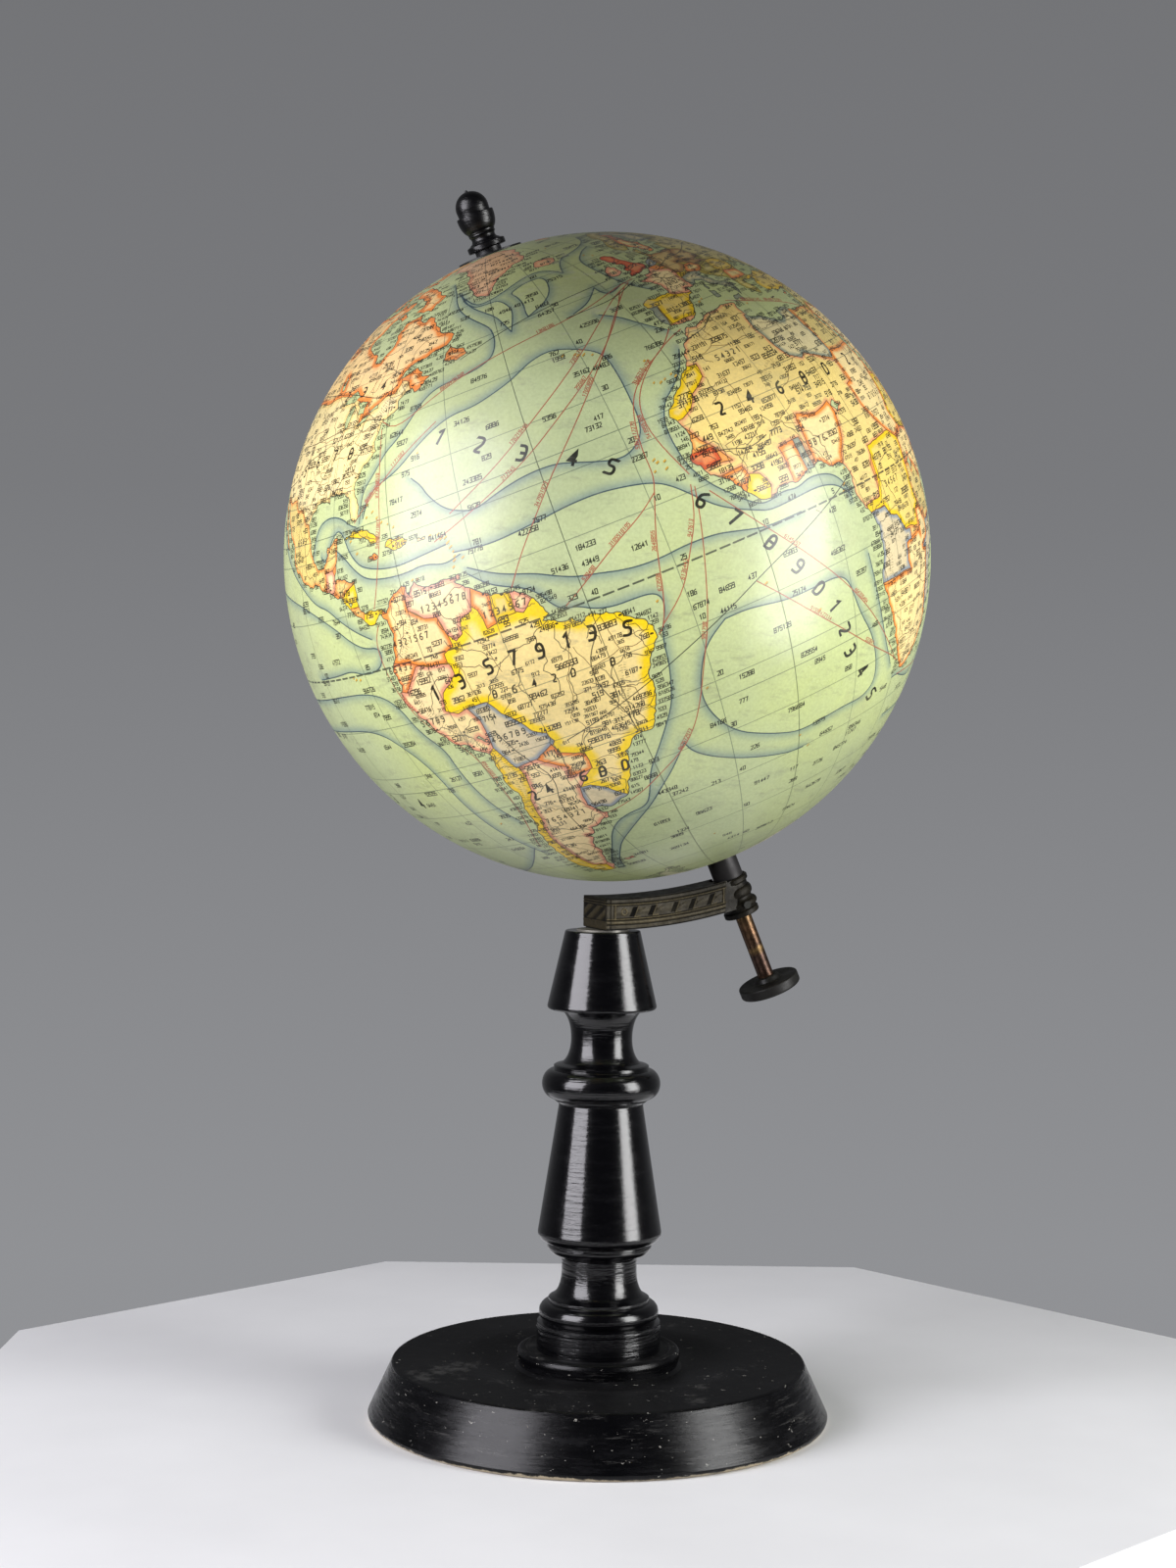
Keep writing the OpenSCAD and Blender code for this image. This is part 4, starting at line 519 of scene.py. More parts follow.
# Lines between states and provinces
STATE_LINES = """
-47,-1.6 -47.4,-5 -49,-8 -50.4,-10.6 -50.6,-13.6
-50.6,-13.6 -46.4,-13.4 -45.8,-10.4 -47.4,-6
-57.8,-9 -61,-9 -61.2,-11.4 -63,-12.6
-50.6,-13.6 -52.6,-17 -51,-19.4 -47.8,-20.4 -47.4,-22.4 -44.4,-23
-51,-19.4 -53.2,-22.2 -53.4,-24
-53,-25.8 -49,-26 -48.4,-27 -47.2,-26
-53.6,-27.4 -50.4,-28.4 -48.4,-29.4
-43.8,-14.4 -40.6,-15.8 -40.4,-18.2 -37.8,-18.4
-40.4,-18.2 -41.6,-20.4 -41,-22.2
-45.8,-10.4 -43,-9.6 -40.6,-8.8 -38.6,-9.2 -35.6,-8.8
-41.6,-3 -41,-6.4 -40.6,-8.8
-37.6,-5 -38.6,-7.4 -35.2,-7.6
-66,-10 -66.4,-4 -69,-1.6
-60,-6 -61,-1 -63.4,2
-75,42 -80,42 -80.4,39.8 -75.6,39.8
-80.4,42 -80.6,40.6 -82.4,38.4 -80.4,37.4 -77,36.6
-84.8,41.8 -84.8,39 -88,37.8 -89.4,36.6 -82,36.6
-87.6,41.8 -87.6,38
-91.2,43.6 -87.8,42.6
-91.4,40.6 -95.8,40.6
-94.6,40.6 -94.6,36.6 -103,37 -103,41 -95.8,40.8
-89.6,36.6 -90.2,35 -94.4,35 -94.6,36.6
-88.2,35 -88.4,30.4
-85.2,35 -85,31 -82,30.8
-91,33 -94,33 -94,29.8
-83.4,35 -80.8,32.2
-94.4,33.6 -100,34.4 -100,36.6 -103,36.6 -103,32 -106.6,32
-109,41 -109,31.4
-102,37 -102,41 -104,41 -104,45 -104,49
-111,49 -111,42 -114,42 -120,42 -124,42
-114,42 -114,37 -109,37
-120,42 -120,39 -114.6,35
-96.6,49 -96.6,43.4 -104,43
-96.6,46 -104,46
-101.4,49.4 -101.4,60 -94.8,60
-110,49.4 -110,60
-120,60 -110,60 -101.4,60
-89.6,48.6 -92.6,50 -95.2,49.6 -95.2,53 -88.8,57
-79.6,46.8 -79.6,52.6
-68,49.4 -67,53 -64,54.6 -60,53
7.4,33 6,30.4 2,30 -3,31 -6,30.2 -8.4,29.4
-6.6,35 -1.8,34.8 -1.2,32.4 -3,31
-12,14.6 -11,12.4 -7,11.6 -4,12.6 0,14.6 3,13.4
-11,24.6 -5,25 -4.8,16 -9,15.4 -12,14.6
0.2,15 4.2,16.6 4.2,19.2 12,23.4
15,13.4 15.6,17 15.4,23
0,-1.4 -1,-0.6
"""
# The crests of mountain ranges
RANGES = """
-72,10 -73,7 -74.4,4 -77,1 -78.6,-2 -78.4,-5 -76.6,-9.4 -73.6,-14 -70.4,-16.6 -68.4,-20
-68.2,-20 -67.6,-25 -69.6,-30 -70,-35 -71.6,-39 -72.8,-44 -73.6,-50
-66.6,-16 -64.6,-19 -65.4,-24 -66.6,-28
-46,-21 -43.4,-19 -41.8,-15 -41,-11
-64,4 -61,5.6 -59,3
-84.6,34.6 -81,37 -78,40 -74,43.4 -70,46
-104.6,36 -106,40 -109.6,44 -113.4,48 -118,53 -124,58 -132,62 -142,61.4
-119,36 -121,40 -121.8,45 -122,49
-105.6,29 -103,24 -100,20 -97,17 -91,15 -86,14
-8.4,31 -5,32.6 0,34 6,35.6 9,36
2,21 5,24 7.6,24.6 9,23
17,20 19,22 17,24
9,5 11,7.6 13,10
37,7 39,11 38,14 39.4,17
30,-3 31,2 30.4,6
36.6,-3 37,1 36,5
13,-9 15,-13 14,-17 16,-22 18,-27 20,-32
22,-33 26,-32 29,-30 31,-26 32,-20
47,-22 48,-18 49,-14
-3,43 0.6,42.6 3,42.4
-4,40 -1.4,41
7,44.4 8,46 11,47 15,47.6
12,44.4 14.4,42.6 16.8,40.4
17,49 21,49.4 25,47.6 25,45.4
8,60 11,62 14,65 18,68
42,43.4 46,42.4
59,52 59,56 60,61 62,66
66,36 72,36.6 76,35 80,31 86,28 92,28 97,30
70,40 78,42 86,44 94,43
86,49 94,51 102,52 110,54 118,57 126,60
34,33 36,37 43,38 46,36 51,31 56,28
76,10 74.6,15 73.6,20
98,28 99,24 98,19
102,34 108,33 114,32
130,62 140,64 150,66 160,67
145,-17 149,-23 152,-29 149,-35 146.6,-38
138,-4 142,-5 146,-7
170,-43.4 172,-42
-52,66 -50,70 -54,74
-30,70 -24,74
"""
# Towns
TOWNS = """
-38.6,-13 -43.3,-23.4 -46,-24 -35,-8.4 -38.6,-3.8 -48.4,-1.6 -44.2,-2.6 -60,-3.6 -58.6,-34.7
-56.4,-35.6 -51.4,-30.4 -57.6,-25.6 -64.4,-31.6 -68.8,-33.2 -65.4,-27 -71,-33.8 -73.2,-37.4
-70.2,-24 -68.4,-16.8 -65.2,-19.4 -63.4,-18 -77,-12.2 -71.8,-16.8 -72,-13.8 -79,-8.4 -79.6,-2.4
-78.4,-0.6 -74.2,4.6 -75.6,6.4 -76.4,3.4 -75.4,10.2 -66.8,10.3 -71.6,10.6 -63.6,8.2 -58.2,6.6
-55.2,5.6 -52.2,4.8 -79.6,9 -84,10 -86.2,12.2 -89.2,13.8 -90.6,14.8 -99.2,19.6 -96,19.4
-103.4,20.8 -100.4,25.8 -106,28.8 -89.6,21 -82.4,23 -72.4,18.6 -70,18.6 -76.8,17.8 -90,30
-84.4,33.8 -81,32 -77,38.8 -75.2,40 -74,40.8 -71,42.4 -79,43 -81.6,41.4 -83,42.4 -87.6,41.8
-90.2,38.6 -93.2,44.8 -95,39 -95.4,29.8 -98.4,29.4 -104.8,39.8 -111.8,40.8 -122.4,37.8 -118.2,34
-122.4,47.6 -73.6,45.5 -71.2,46.8 -79.4,43.8 -63.6,44.9 -66,45.4 -97.2,50 -113.4,53.6 -123,49.4
-17.6,14.8 -13.4,9.6 -13,8.2 -10.6,6.2 -0.2,5.6 3.4,6.5 8.4,12 7.8,9 13.2,12 15,12.2 -3,16.8
-8,12.6 -5.6,33.8 -8,31.6 3,36.8 -0.8,35.7 10.2,36.8 13.2,32.8 20,32.2 30,31.2 31.3,30 32.6,15.6
32.6,24 25.4,13.6 20.8,13.8 39.4,15.4 38.8,9 45,2 36.8,-1.2 39.2,-6.2 32.6,0.4 15.4,-4.4 25.2,0.6
27.6,-11.6 13.2,-8.8 12.6,-12.4 17,-22.6 28.2,-25.8 28,-26.2 31,-29.8 25.6,-33.8 19.4,-33.8
32.6,-25.8 34.8,-19.8 47.6,-19 31,-17.8 -2.2,40.5 3,41.4 -7.6,38.8 -5,37.4 3.8,49 5.8,45.8
6.6,43.4 1.8,45 2.2,51.8 -1,53.4 -0.4,56 -4.6,53.4 6,52.4 5.8,50.8 15,52.6 11.4,53.6 12.8,48.2
15.8,50 17.8,48.2 21,47.4 13.8,42 15.6,41 10.4,45.6 24,38 29,41 28,44.4 30.4,50.4 37.6,55.8
30.4,59.9 25,60.2 18.4,59.4 12,60 13.6,55.8 24.2,57 21.2,52.2 46,51.6 49,55.8 61,56.8 73.4,55
83,55 92.8,56 104.4,52.4 129.8,62 132,43.2 51.4,35.8 44.4,33.4 36.4,33.6 35.2,31.8 39.2,21.6
40,24.4 45,13 58.4,23.6 69.2,34.6 66.6,39.8 76.8,43.4 74.4,31.6 77.2,28.6 72.8,19 80.2,13.2
88.4,22.6 83,25.4 79.8,7 96.2,17 100.6,13.8 106.6,10.8 105.8,21 102,3 103.8,1.3 106.8,-6.2
112.8,-7.2 121,14.6 114.2,22.4 113.2,23.2 121.4,31.2 114.2,30.6 106.6,29.6 116.4,39.9 117.2,39.2
126.6,45.8 126.8,37.6 139.8,35.7 135.4,34.8 130.4,33.6 141.4,43 91,29.8 87.6,43.8 106.8,47.9
115.8,-32 138.6,-34.8 145,-37.8 151.2,-33.8 153,-27.4 146.8,-19.4 130.8,-12.6 133.8,-23.8
147.2,-42.8 174.8,-36.9 174.8,-41.2 172.6,-43.6
"""
# Islets that are too small for a coast
ISLETS = """
-28,38.6 -27,38.3 -25.4,37.7 -31,39.6 -28.6,39 -17,33 -16.4,32.8 -15.6,28.6 -16.6,28.3 -17.8,28.7
-14,29 -13.4,28.4 -25,15 -24,16.2 -23,14.8 -22.8,16 -24.4,16.8 -64.7,32.3 -5.7,-16 -14.4,-8
-29.3,-20.5 -12.4,-37.2 -10,-40.4 -32.4,-3.9 -77.6,26.6 -78,24.6 -76.4,25.2 -75.4,24 -74.4,23
-73,22.4 -71.8,21.6 -64.6,18.2 -63,18 -62.6,17.2 -61.8,17.1 -61.6,16.2 -61.3,15.4 -61,14.6
-61,13.8 -61.2,13.2 -59.6,13.2 -61.7,12.2 -70,12.4 -69,12.2 -81.4,19.3 -90.6,-0.6 -91.2,-0.2
-89.4,-0.8 -80,-33.6 -109.4,-27.2 -36.6,-54.4 -155.6,19.6 -156.6,20.8 -158,21.5 -159.6,22
-149.4,-17.6 -151,-16.8 -140,-9 -139,-9.8 -171.8,-13.8 -172.6,-13.5 178,-17.8 179.4,-16.6 -175,-21
158,6.8 151.8,7.4 144.8,13.5 145.6,15 134.5,7.4 167,-15.4 168.2,-17.6 157,-8 159.6,-9.4 161,-10
155.4,-6.4 72,-7 73,4 73.4,1 57.6,-20.2 55.6,-21.1 55.5,-4.6 44,-12 45.2,-12.8 70,-49.4 51,-46.4
37.8,-46.9 92.8,12.4 93.6,7.4 105.6,-10.5 96.8,-12.2 8.6,3.6 7,1.2 6.4,0.2 -5,62 -3,60.8 10.8,78
14.6,35.9 3.8,39.8 5,40.2 128,26.4 129.6,28.4 142,27 54,12.5 -178,52 -175,52.2 -170,53 148,44.6
151,46.6 154,49.4 -8.4,71 53,26 -82.8,21.6 166,-0.6 -176.6,-44 169,-50.6
"""
# Larger plain figures: their height in millimetres, the figures, and the place of each
FIGURES = """
5.4 123456789012345 -59.4,33.6 -51.8,29.7 -44.6,25.7 -36.6,21.9 -31.3,18.3 -19.8,8.1 -15.8,3.6 \
-11.3,-2.3 -7.8,-7.7 -4.9,-12.5 -2.2,-16.5 -0.6,-21.2 0.6,-25.5 4.3,-30.5 9,-36.6
4.6 246802 -9.4,20.4 -2.9,20.3 4.1,19.8 11,19.7 18.6,19.5 28.8,19.4
5 13579135 -73.5,-6 -67.7,-5.4 -61.9,-4.5 -57.3,-4.4 -52.6,-4.8 -48,-4.7 -43.8,-4.9 -38.3,-6.2
2.8 864208 -62.9,-9.1 -59.3,-9.3 -55.7,-9.4 -52.3,-9.7 -49,-9.9 -42.4,-10.4
4.4 24 -67.3,-29.2 -63.6,-28.6
4.4 680 -56,-28.2 -52.2,-28.5 -47.8,-28.7
3.8 1234 -101.4,49 -91.8,48.7 -83.7,48.3 -76,48
4 5678 -104.3,36.5 -97,37.3 -89.4,37.4 -83.3,36.7
4.6 901234 -150,-8 -140,-13 -130,-18 -120,-22.5 -110,-25 -97,-26
5.4 5678901 146,24 157,19 168,13 179,7 -171,2 -162,-3 -154,-9
5.4 24680 62,-14 70,-17 78,-20 86,-23 93,-28
4.6 1357 60,62 76,60 92,58 108,60
4.6 9753 78,46 90,44 102,43 114,45
4.6 86420 118,-24 125,-25 132,-25.6 139,-25 146,-24
"""
# Rows of small figures in the middle of countries, each with its place
AREA_FIGURES = """
12345678 -65.6,7.4
4321567 -74,3.4
56789 -77,-10.6
3456789 -65,-16.6
987654321 -66.4,-35.6
1234567 -55.6,3.4
765432 -79,-0.6
54321 -1,28.6
8765432 31,12
34567 21,-2
765 24,-29
6543 -101,24
9876 5.4,9.4
"""
# The strokes of each figure, in a box 1 wide and 2 high
DIGITS = {"0": ["0,0 1,0 1,2 0,2 0,0"], "1": [".2,1.6 .6,2 .6,0"],
          "2": ["0,2 1,2 1,1.1 0,0 1,0"], "3": ["0,2 1,2 1,0 0,0", ".3,1 1,1"],
          "4": [".7,0 .7,2 0,.6 1,.6"], "5": ["1,2 0,2 0,1.1 1,1.1 1,0 0,0"],
          "6": ["1,2 0,1.6 0,0 1,0 1,1 0,1"], "7": ["0,2 1,2 .4,0"],
          "8": ["0,0 1,0 1,2 0,2 0,0", "0,1 1,1"], "9": ["1,1 0,1 0,2 1,2 1,0 0,0"]}
ROUND_DIGITS = "0235689"
# From one figure to the next, as a share of their height
FIGURE_PITCH = 0.75
# Each pen's width in millimetres, ink, strength and rank, where a higher rank covers a lower.
# The width of the figure pens is a share of the figure's height.
PENS = {"parallel": (0.34, "46544A", 0.6, 29), "circle": (0.34, "46544A", 0.7, 29),
        "meridian": (0.34, "46544A", 0.6, 30), "seam": (0.6, "46544A", 0.65, 30),
        "current": (0.5, "2F4654", 0.9, 35), "route": (0.42, "A03A28", 0.85, 40),
        "state": (0.28, "5F3C1E", 0.8, 45), "hachure": (0.22, "5B4626", 0.7, 46),
        "stream": (0.3, "33302A", 0.8, 47), "river": (0.32, "2B2A26", 0.85, 48),
        "border": (0.36, "54301A", 0.85, 50), "coast": (0.38, "26302E", 0.9, 60),
        "islet": (1, "C79A2C", 0.95, 62), "islet shore": (0.24, "2C3634", 0.8, 63),
        "equator": (0.7, "24292A", 0.85, 66), "cable": (0.38, "161818", 0.9, 70),
        "town": (0.72, "161616", 0.95, 80), "figure": (0.22, "161513", 0.95, 90),
        "area figure": (0.22, "161513", 0.9, 90), "red figure": (0.22, "A03A28", 0.85, 90),
        "large figure": (0.2, "0E0E0D", 0.97, 90)}
# Lengths in millimetres: between the points of a line, and across a cell of the room for labels
LINE_STEP = 2.5
EDGE_STEP = 2.2
LABEL_CELL = 0.9
# The map counts its longitudes from here
FIRST_MERIDIAN = -2.65


def points(text):
    return np.array([[float(v) for v in p.split(",")] for p in text.split()])


def lines(block):
    return [points(row) for row in block.strip().splitlines()]


def headed(block):
    """The first word and the rest of each line."""
    return [row.split(" ", 1) for row in block.strip().splitlines()]


def wrapped(angle):
    """An angle in degrees brought to the span from -180 to 180."""
    return (angle + 180) % 360 - 180


def narrowing(lat):
    """A degree of longitude at a latitude, as a share of one at the equator."""
    return math.cos(math.radians(lat))


def metric(p):
    """Lengths in millimetres of the steps of a path in degrees."""
    d = np.diff(p, axis=0)
    mid = np.radians((p[1:, 1] + p[:-1, 1]) / 2)
    return np.hypot(d[:, 0] * np.cos(mid), d[:, 1]) * DEG


def finer(p, step):
    """The same path with extra points, at most a step apart on the ball."""
    out = [p[:1]]
    for a, b, length in zip(p[:-1], p[1:], metric(p)):
        n = max(1, math.ceil(length / step))
        out.append(a + (b - a) * np.arange(1, n + 1)[:, None] / n)
    return np.vstack(out)


def rough(p, smallest, share):
    """A path as an unsteady hand draws it: steps longer than the smallest are halved, and each
    new point moves aside by up to a share of its step."""
    while metric(p).max() > smallest:
        length = metric(p)
        new = [p[0]]
        for a, b, run in zip(p[:-1], p[1:], length):
            if run > smallest:
                d = (b - a) * share * RNG.uniform(-1, 1)
                c = max(narrowing((a[1] + b[1]) / 2), 0.1)
                new.append((a + b) / 2 + np.array([-d[1] / c, d[0] * c]))
            new.append(b)
        p = np.array(new)
    return p


def smooth(p, rounds=3):
    """A path with its corners cut round and its ends kept."""
    for _ in range(rounds):
        q = np.empty((2 * len(p) - 2, 2))
        q[0::2] = p[:-1] * 0.75 + p[1:] * 0.25
        q[1::2] = p[:-1] * 0.25 + p[1:] * 0.75
        p = np.vstack([p[:1], q[1:-1], p[-1:]])
    return p


def closed(p):
    return np.vstack([p, p[:1]])


def inside(poly, q):
    """Which of the points q lie inside a closed path."""
    out = np.zeros(len(q), bool)
    near = np.nonzero((q[:, 0] >= poly[:, 0].min()) & (q[:, 0] <= poly[:, 0].max())
                      & (q[:, 1] >= poly[:, 1].min()) & (q[:, 1] <= poly[:, 1].max()))[0]
    a, b = poly[:-1], poly[1:]
    rise = np.where(b[:, 1] == a[:, 1], 1e-12, b[:, 1] - a[:, 1])
    batch = 4000
    for start in range(0, len(near), batch):
        part = near[start:start + batch]
        x, y = q[part, 0][:, None], q[part, 1][:, None]
        crossing = a[:, 0] + (y - a[:, 1]) / rise * (b[:, 0] - a[:, 0])
        cross = ((a[:, 1] > y) != (b[:, 1] > y)) & (x < crossing)
        out[part] = cross.sum(1) % 2 == 1
    return out


COASTS = {name: rough(closed(points(text)), 1.6, 0.16) for name, text in LAND.items()}
WATERS = [rough(closed(points(text)), 1.6, 0.12) for text in LAKES]
AREAS = [(tint, rough(closed(points(text)), 4, 0.05)) for tint, text in headed(COUNTRIES)]
TINT_OF = [OWN_TINT.get(name, "amber") for name in COASTS] + [tint for tint, _ in AREAS]


def region(q):
    """For each point the land it lies in, coasts first and then countries, or 0 at sea."""
    ids = np.zeros(len(q), int)
    for turn in (0, -360, 360):
        p = q + [turn, 0]
        for i, poly in enumerate(COASTS.values()):
            ids[inside(poly, p)] = i + 1
        for i, (_, poly) in enumerate(AREAS):
            hit = inside(poly, p) & (ids > 0)
            ids[hit] = len(COASTS) + i + 1
        for poly in WATERS:
            ids[inside(poly, p)] = 0
    return ids


def kept_runs(path, wanted):
    """The stretches of a path where wanted(left, right) holds for the lands beside it."""
    path = finer(path, EDGE_STEP)
    mid = (path[1:] + path[:-1]) / 2
    d = path[1:] - path[:-1]
    c = np.maximum(np.cos(np.radians(mid[:, 1])), 0.1)
    across = np.stack([-d[:, 1] / c, d[:, 0] * c], 1)
    across *= (0.2 / DEG) / np.maximum(np.hypot(across[:, 0] * c, across[:, 1]), 1e-9)[:, None]
    keep = wanted(region(mid + across), region(mid - across))
    runs, start = [], None
    for i, k in enumerate(list(keep) + [False]):
        if k and start is None:
            start = i
        elif not k and start is not None:
            runs.append(path[start:i + 1])
            start = None
    return runs


def sea_and_land(a, b):
    return (a == 0) != (b == 0)


def two_lands(a, b):
    return (a != b) & (a > 0) & (b > 0)


coast_lines = [run for p in list(COASTS.values()) + WATERS for run in kept_runs(p, sea_and_land)]
border_lines = [run for _, p in AREAS for run in kept_runs(p, two_lands)]
current_lines = [(finer(smooth(points(text), 3), EDGE_STEP), 1 if side == "l" else -1)
                 for side, text in headed(CURRENTS)]
route_lines = [smooth(run, 2) for run in lines(ROUTES)]
STROKES = []
TAKEN = set()


def stroke(path, pen, scale=1):
    width, ink, strength, rank = PENS[pen]
    STROKES.append((path, width * scale / 2, linear(ink), strength, rank))


def number(text, lon, lat, height, pen="figure", angle=0.0):
    """Plain figures centred on a place, written along its parallel or at an angle to it."""
    unit = height / 2 / DEG
    c = narrowing(lat)
    ca, sa = math.cos(angle), math.sin(angle)
    for i, digit in enumerate(text):
        for part in DIGITS[digit]:
            p = points(part)
            if height > 2 and digit in ROUND_DIGITS:
                p = smooth(p, 2)
            p = p + [2 * FIGURE_PITCH * i - FIGURE_PITCH * len(text) + 0.25, -1]
            x, y = (p[:, 0] + 0.12 * p[:, 1]) * unit, p[:, 1] * unit
            p = np.stack([lon + (x * ca - y * sa) / c, lat + x * sa + y * ca], 1)
            stroke(p, pen, height)


def free(lon, lat, width, height):
    """Whether a label fits without touching another, and if so its room is taken."""
    x, y = wrapped(lon) * DEG * narrowing(lat), lat * DEG
    down, across = (range(round((middle - size / 2) / LABEL_CELL),
                          round((middle + size / 2) / LABEL_CELL) + 1)
                    for middle, size in ((y, height), (x, width)))
    room = {(row, column) for row in down for column in across}
    if room & TAKEN:
        return False
    TAKEN.update(room)
    return True


def any_number(low, high):
    return "".join(str(v) for v in RNG.integers(1, 10, int(RNG.integers(low, high))))


def draw_lines():
    """Coasts, borders, rivers, cables and shipping routes."""
    for run in coast_lines:
        stroke(run, "coast")
    for run in border_lines:
        stroke(run, "border")
    for run in lines(STATE_LINES):
        stroke(finer(rough(run, 3, 0.1), LINE_STEP), "state")
    for run in lines(RIVERS):
        stroke(finer(rough(run, 2.2, 0.2), LINE_STEP), "river")
    for run in lines(CABLES):
        stroke(finer(smooth(run, 2), LINE_STEP), "cable")
    for run in route_lines:
        stroke(finer(run, LINE_STEP), "route")


def draw_streams():
    """Small rivers that wander inland from the coasts."""
    long_coasts = [run for run in coast_lines if metric(run).sum() > 25]
    starts = np.array([place for run in long_coasts for place in run[::4]])
    starts = starts[np.abs(starts[:, 1]) < 70]
    heading = RNG.uniform(-math.pi, math.pi, len(starts))
    most_steps = 20
    length = RNG.integers(4, most_steps, len(starts))
    trail = [starts]
    for _ in range(most_steps):
        heading = heading + RNG.normal(0, 0.38, len(starts))
        c = np.cos(np.radians(trail[-1][:, 1]))
        ahead = np.stack([np.cos(heading) / c, np.sin(heading)], 1) * 1.3 / DEG
        trail.append(trail[-1] + ahead)
    trail = np.stack(trail, 1)
    on_land = (region(trail[:, 1:].reshape(-1, 2)) > 0).reshape(len(starts), -1)
    for path, land, most in zip(trail, on_land, length):
        run = min(most, len(land) if land.all() else int(land.argmin()))
        if run > 3:
            stroke(rough(path[:run + 1], 0.9, 0.2), "stream")


def draw_grid():
    """Currents, the gores' seams, meridians, parallels and the equator's broken line."""
    for run, _ in current_lines:
        stroke(run, "current")
    for lon in np.arange(FIRST_SEAM - 180, FIRST_SEAM + 180, GORE_SPAN / 2):
        path = finer(np.array([[lon, -GORE_END], [lon, GORE_END]]), LINE_STEP)
        stroke(path, "meridian" if (lon - FIRST_SEAM) % GORE_SPAN else "seam")
    for lat in list(range(-80, 0, 10)) + list(range(10, 90, 10)) + [23.45, -23.45, 66.55, -66.55]:
        ring = np.stack([np.arange(-180, 181, 1.5), np.full(241, float(lat))], 1)
        stroke(finer(ring, LINE_STEP), "circle" if lat % 10 else "parallel")
    for lon in np.arange(-180, 180, 2.5):
        stroke(np.array([[lon, 0], [lon + 1.8, 0]]), "equator")


def draw_large_figures():
    """Large spaced figures that follow a curve, and the rows in the middle of countries."""
    for row in FIGURES.strip().splitlines():
        height, text, *places = row.split()
        height = float(height)
        places = points(" ".join(places))
        for i, (digit, (lon, lat)) in enumerate(zip(text, places)):
            ahead = places[min(i + 1, len(places) - 1)] - places[max(i - 1, 0)]
            angle = math.atan2(ahead[1], ahead[0] * narrowing(lat))
            free(lon, lat, 0.8 * height, height)
            number(digit, lon, lat, height, "large figure", angle)
    height, pitch = 2.2, 2.6
    for text, place in headed(AREA_FIGURES):
        middle, lat = points(place)[0]
        for i, digit in enumerate(text):
            lon = middle + (i - len(text) / 2 + 0.5) * pitch / DEG / narrowing(lat)
            free(lon, lat, 1.8, height)
            number(digit, lon, lat, height, "area figure")


def draw_degree_figures():
    """The degrees of the parallels on two meridians, and of the meridians on the equator."""
    height = 1.7
    for lat in range(-70, 80, 10):
        for lon in (FIRST_SEAM + 15, FIRST_SEAM + 195):
            if lat and free(lon + 1.2, lat + 1.1, 2, 1.6):
                number(str(abs(lat)), lon + 1.2, lat + 1.1, height)
    for k in range(24):
        lon = FIRST_SEAM + 15 * k
        if free(lon + 1.6, 1, 3, 1.6):
            number(str(abs(round(wrapped(lon - FIRST_MERIDIAN)))), lon + 1.6, 1, height)


def draw_places():
    """Towns as short dashes, and islets as gold spots with a dark lower shore."""
    for town in points(TOWNS):
        stroke(np.array([town - [0.1, 0], town + [0.1, 0]]), "town")
    for islet in points(ISLETS):
        half = RNG.uniform(0.1, 0.28)
        low, high = half * 0.4, half * 0.5
        body = np.array([islet - [half, low], islet + [half, high]])
        shore = np.array([islet - [half, low + 0.2], islet + [half, high - 0.2]])
        stroke(body, "islet", RNG.uniform(0.5, 0.8))
        stroke(shore, "islet shore")


def draw_ranges():
    """Mountain ranges, as short strokes down both sides of their crests."""
    for crest in lines(RANGES):
        path = finer(smooth(crest, 2), 1.15)
        for a, b in zip(path[:-1], path[1:]):
            c = max(narrowing(a[1]), 0.2)
            ahead = np.array([(b[0] - a[0]) * c, b[1] - a[1]])
            ahead /= max(np.hypot(*ahead), 1e-9)
            for side in (-1, 1):
                out = np.array([-ahead[1], ahead[0]]) * side + ahead * RNG.uniform(-0.3, 0.3)
                top, foot = RNG.uniform(0.15, 0.5), RNG.uniform(0.8, 1.9)
                p = np.array([out * top, out * foot]) / DEG
                stroke(np.stack([a[0] + p[:, 0] / c, a[1] + p[:, 1]], 1), "hachure")


def draw_route_figures():
    """Plain red figures along the shipping routes."""
    height, pitch, lift = 1.3, 1.05, 1.1
    for run in route_lines:
        path = finer(run, LINE_STEP)
        for share in (0.3, 0.62):
            a, b = path[int(share * len(path))], path[int(share * len(path)) + 1]
            c = narrowing(a[1])
            angle = math.atan2(b[1] - a[1], (b[0] - a[0]) * c)
            angle = (angle + math.pi / 2) % math.pi - math.pi / 2
            shift = np.array([-math.sin(angle) / c, math.cos(angle)]) * lift / DEG
            text = any_number(6, 12)
            for i, digit in enumerate(text):
                ahead = (i - len(text) / 2) * pitch / DEG
                lon = a[0] + shift[0] + math.cos(angle) * ahead / c
                lat = a[1] + shift[1] + math.sin(angle) * ahead
                free(lon, lat, 1, height)
                number(digit, lon, lat, height, "red figure", angle)


def draw_town_figures():
    height = 1.6
    for town in points(TOWNS):
        text = any_number(3, 6)
        width = FIGURE_PITCH * height * len(text)
        side = RNG.choice([-1, 1])
        lon = town[0] + side * (width / 2 + 0.9) / DEG / narrowing(town[1])
        if free(lon, town[1], width, height):
            number(text, lon, town[1], height)


def draw_coast_figures():
    """Figures in place of the names that run out over the sea from the coasts."""
    height = 1.35
    for run in coast_lines:
        if metric(run).sum() < 20:
            continue
        for place in run[::2]:
            text = any_number(3, 7)
            width = FIGURE_PITCH * height * len(text)
            out = (width / 2 + 0.8) / DEG / max(narrowing(place[1]), 0.2)
            spots = place + np.array([[out, 0], [-out, 0]])
            beside = region(place + np.array([[1.6, 0], [-1.6, 0]]))
            for spot, land in zip(spots, beside):
                if not land and abs(place[1]) < 72 and free(*spot, width, height):
                    number(text, *spot, height)
                    break


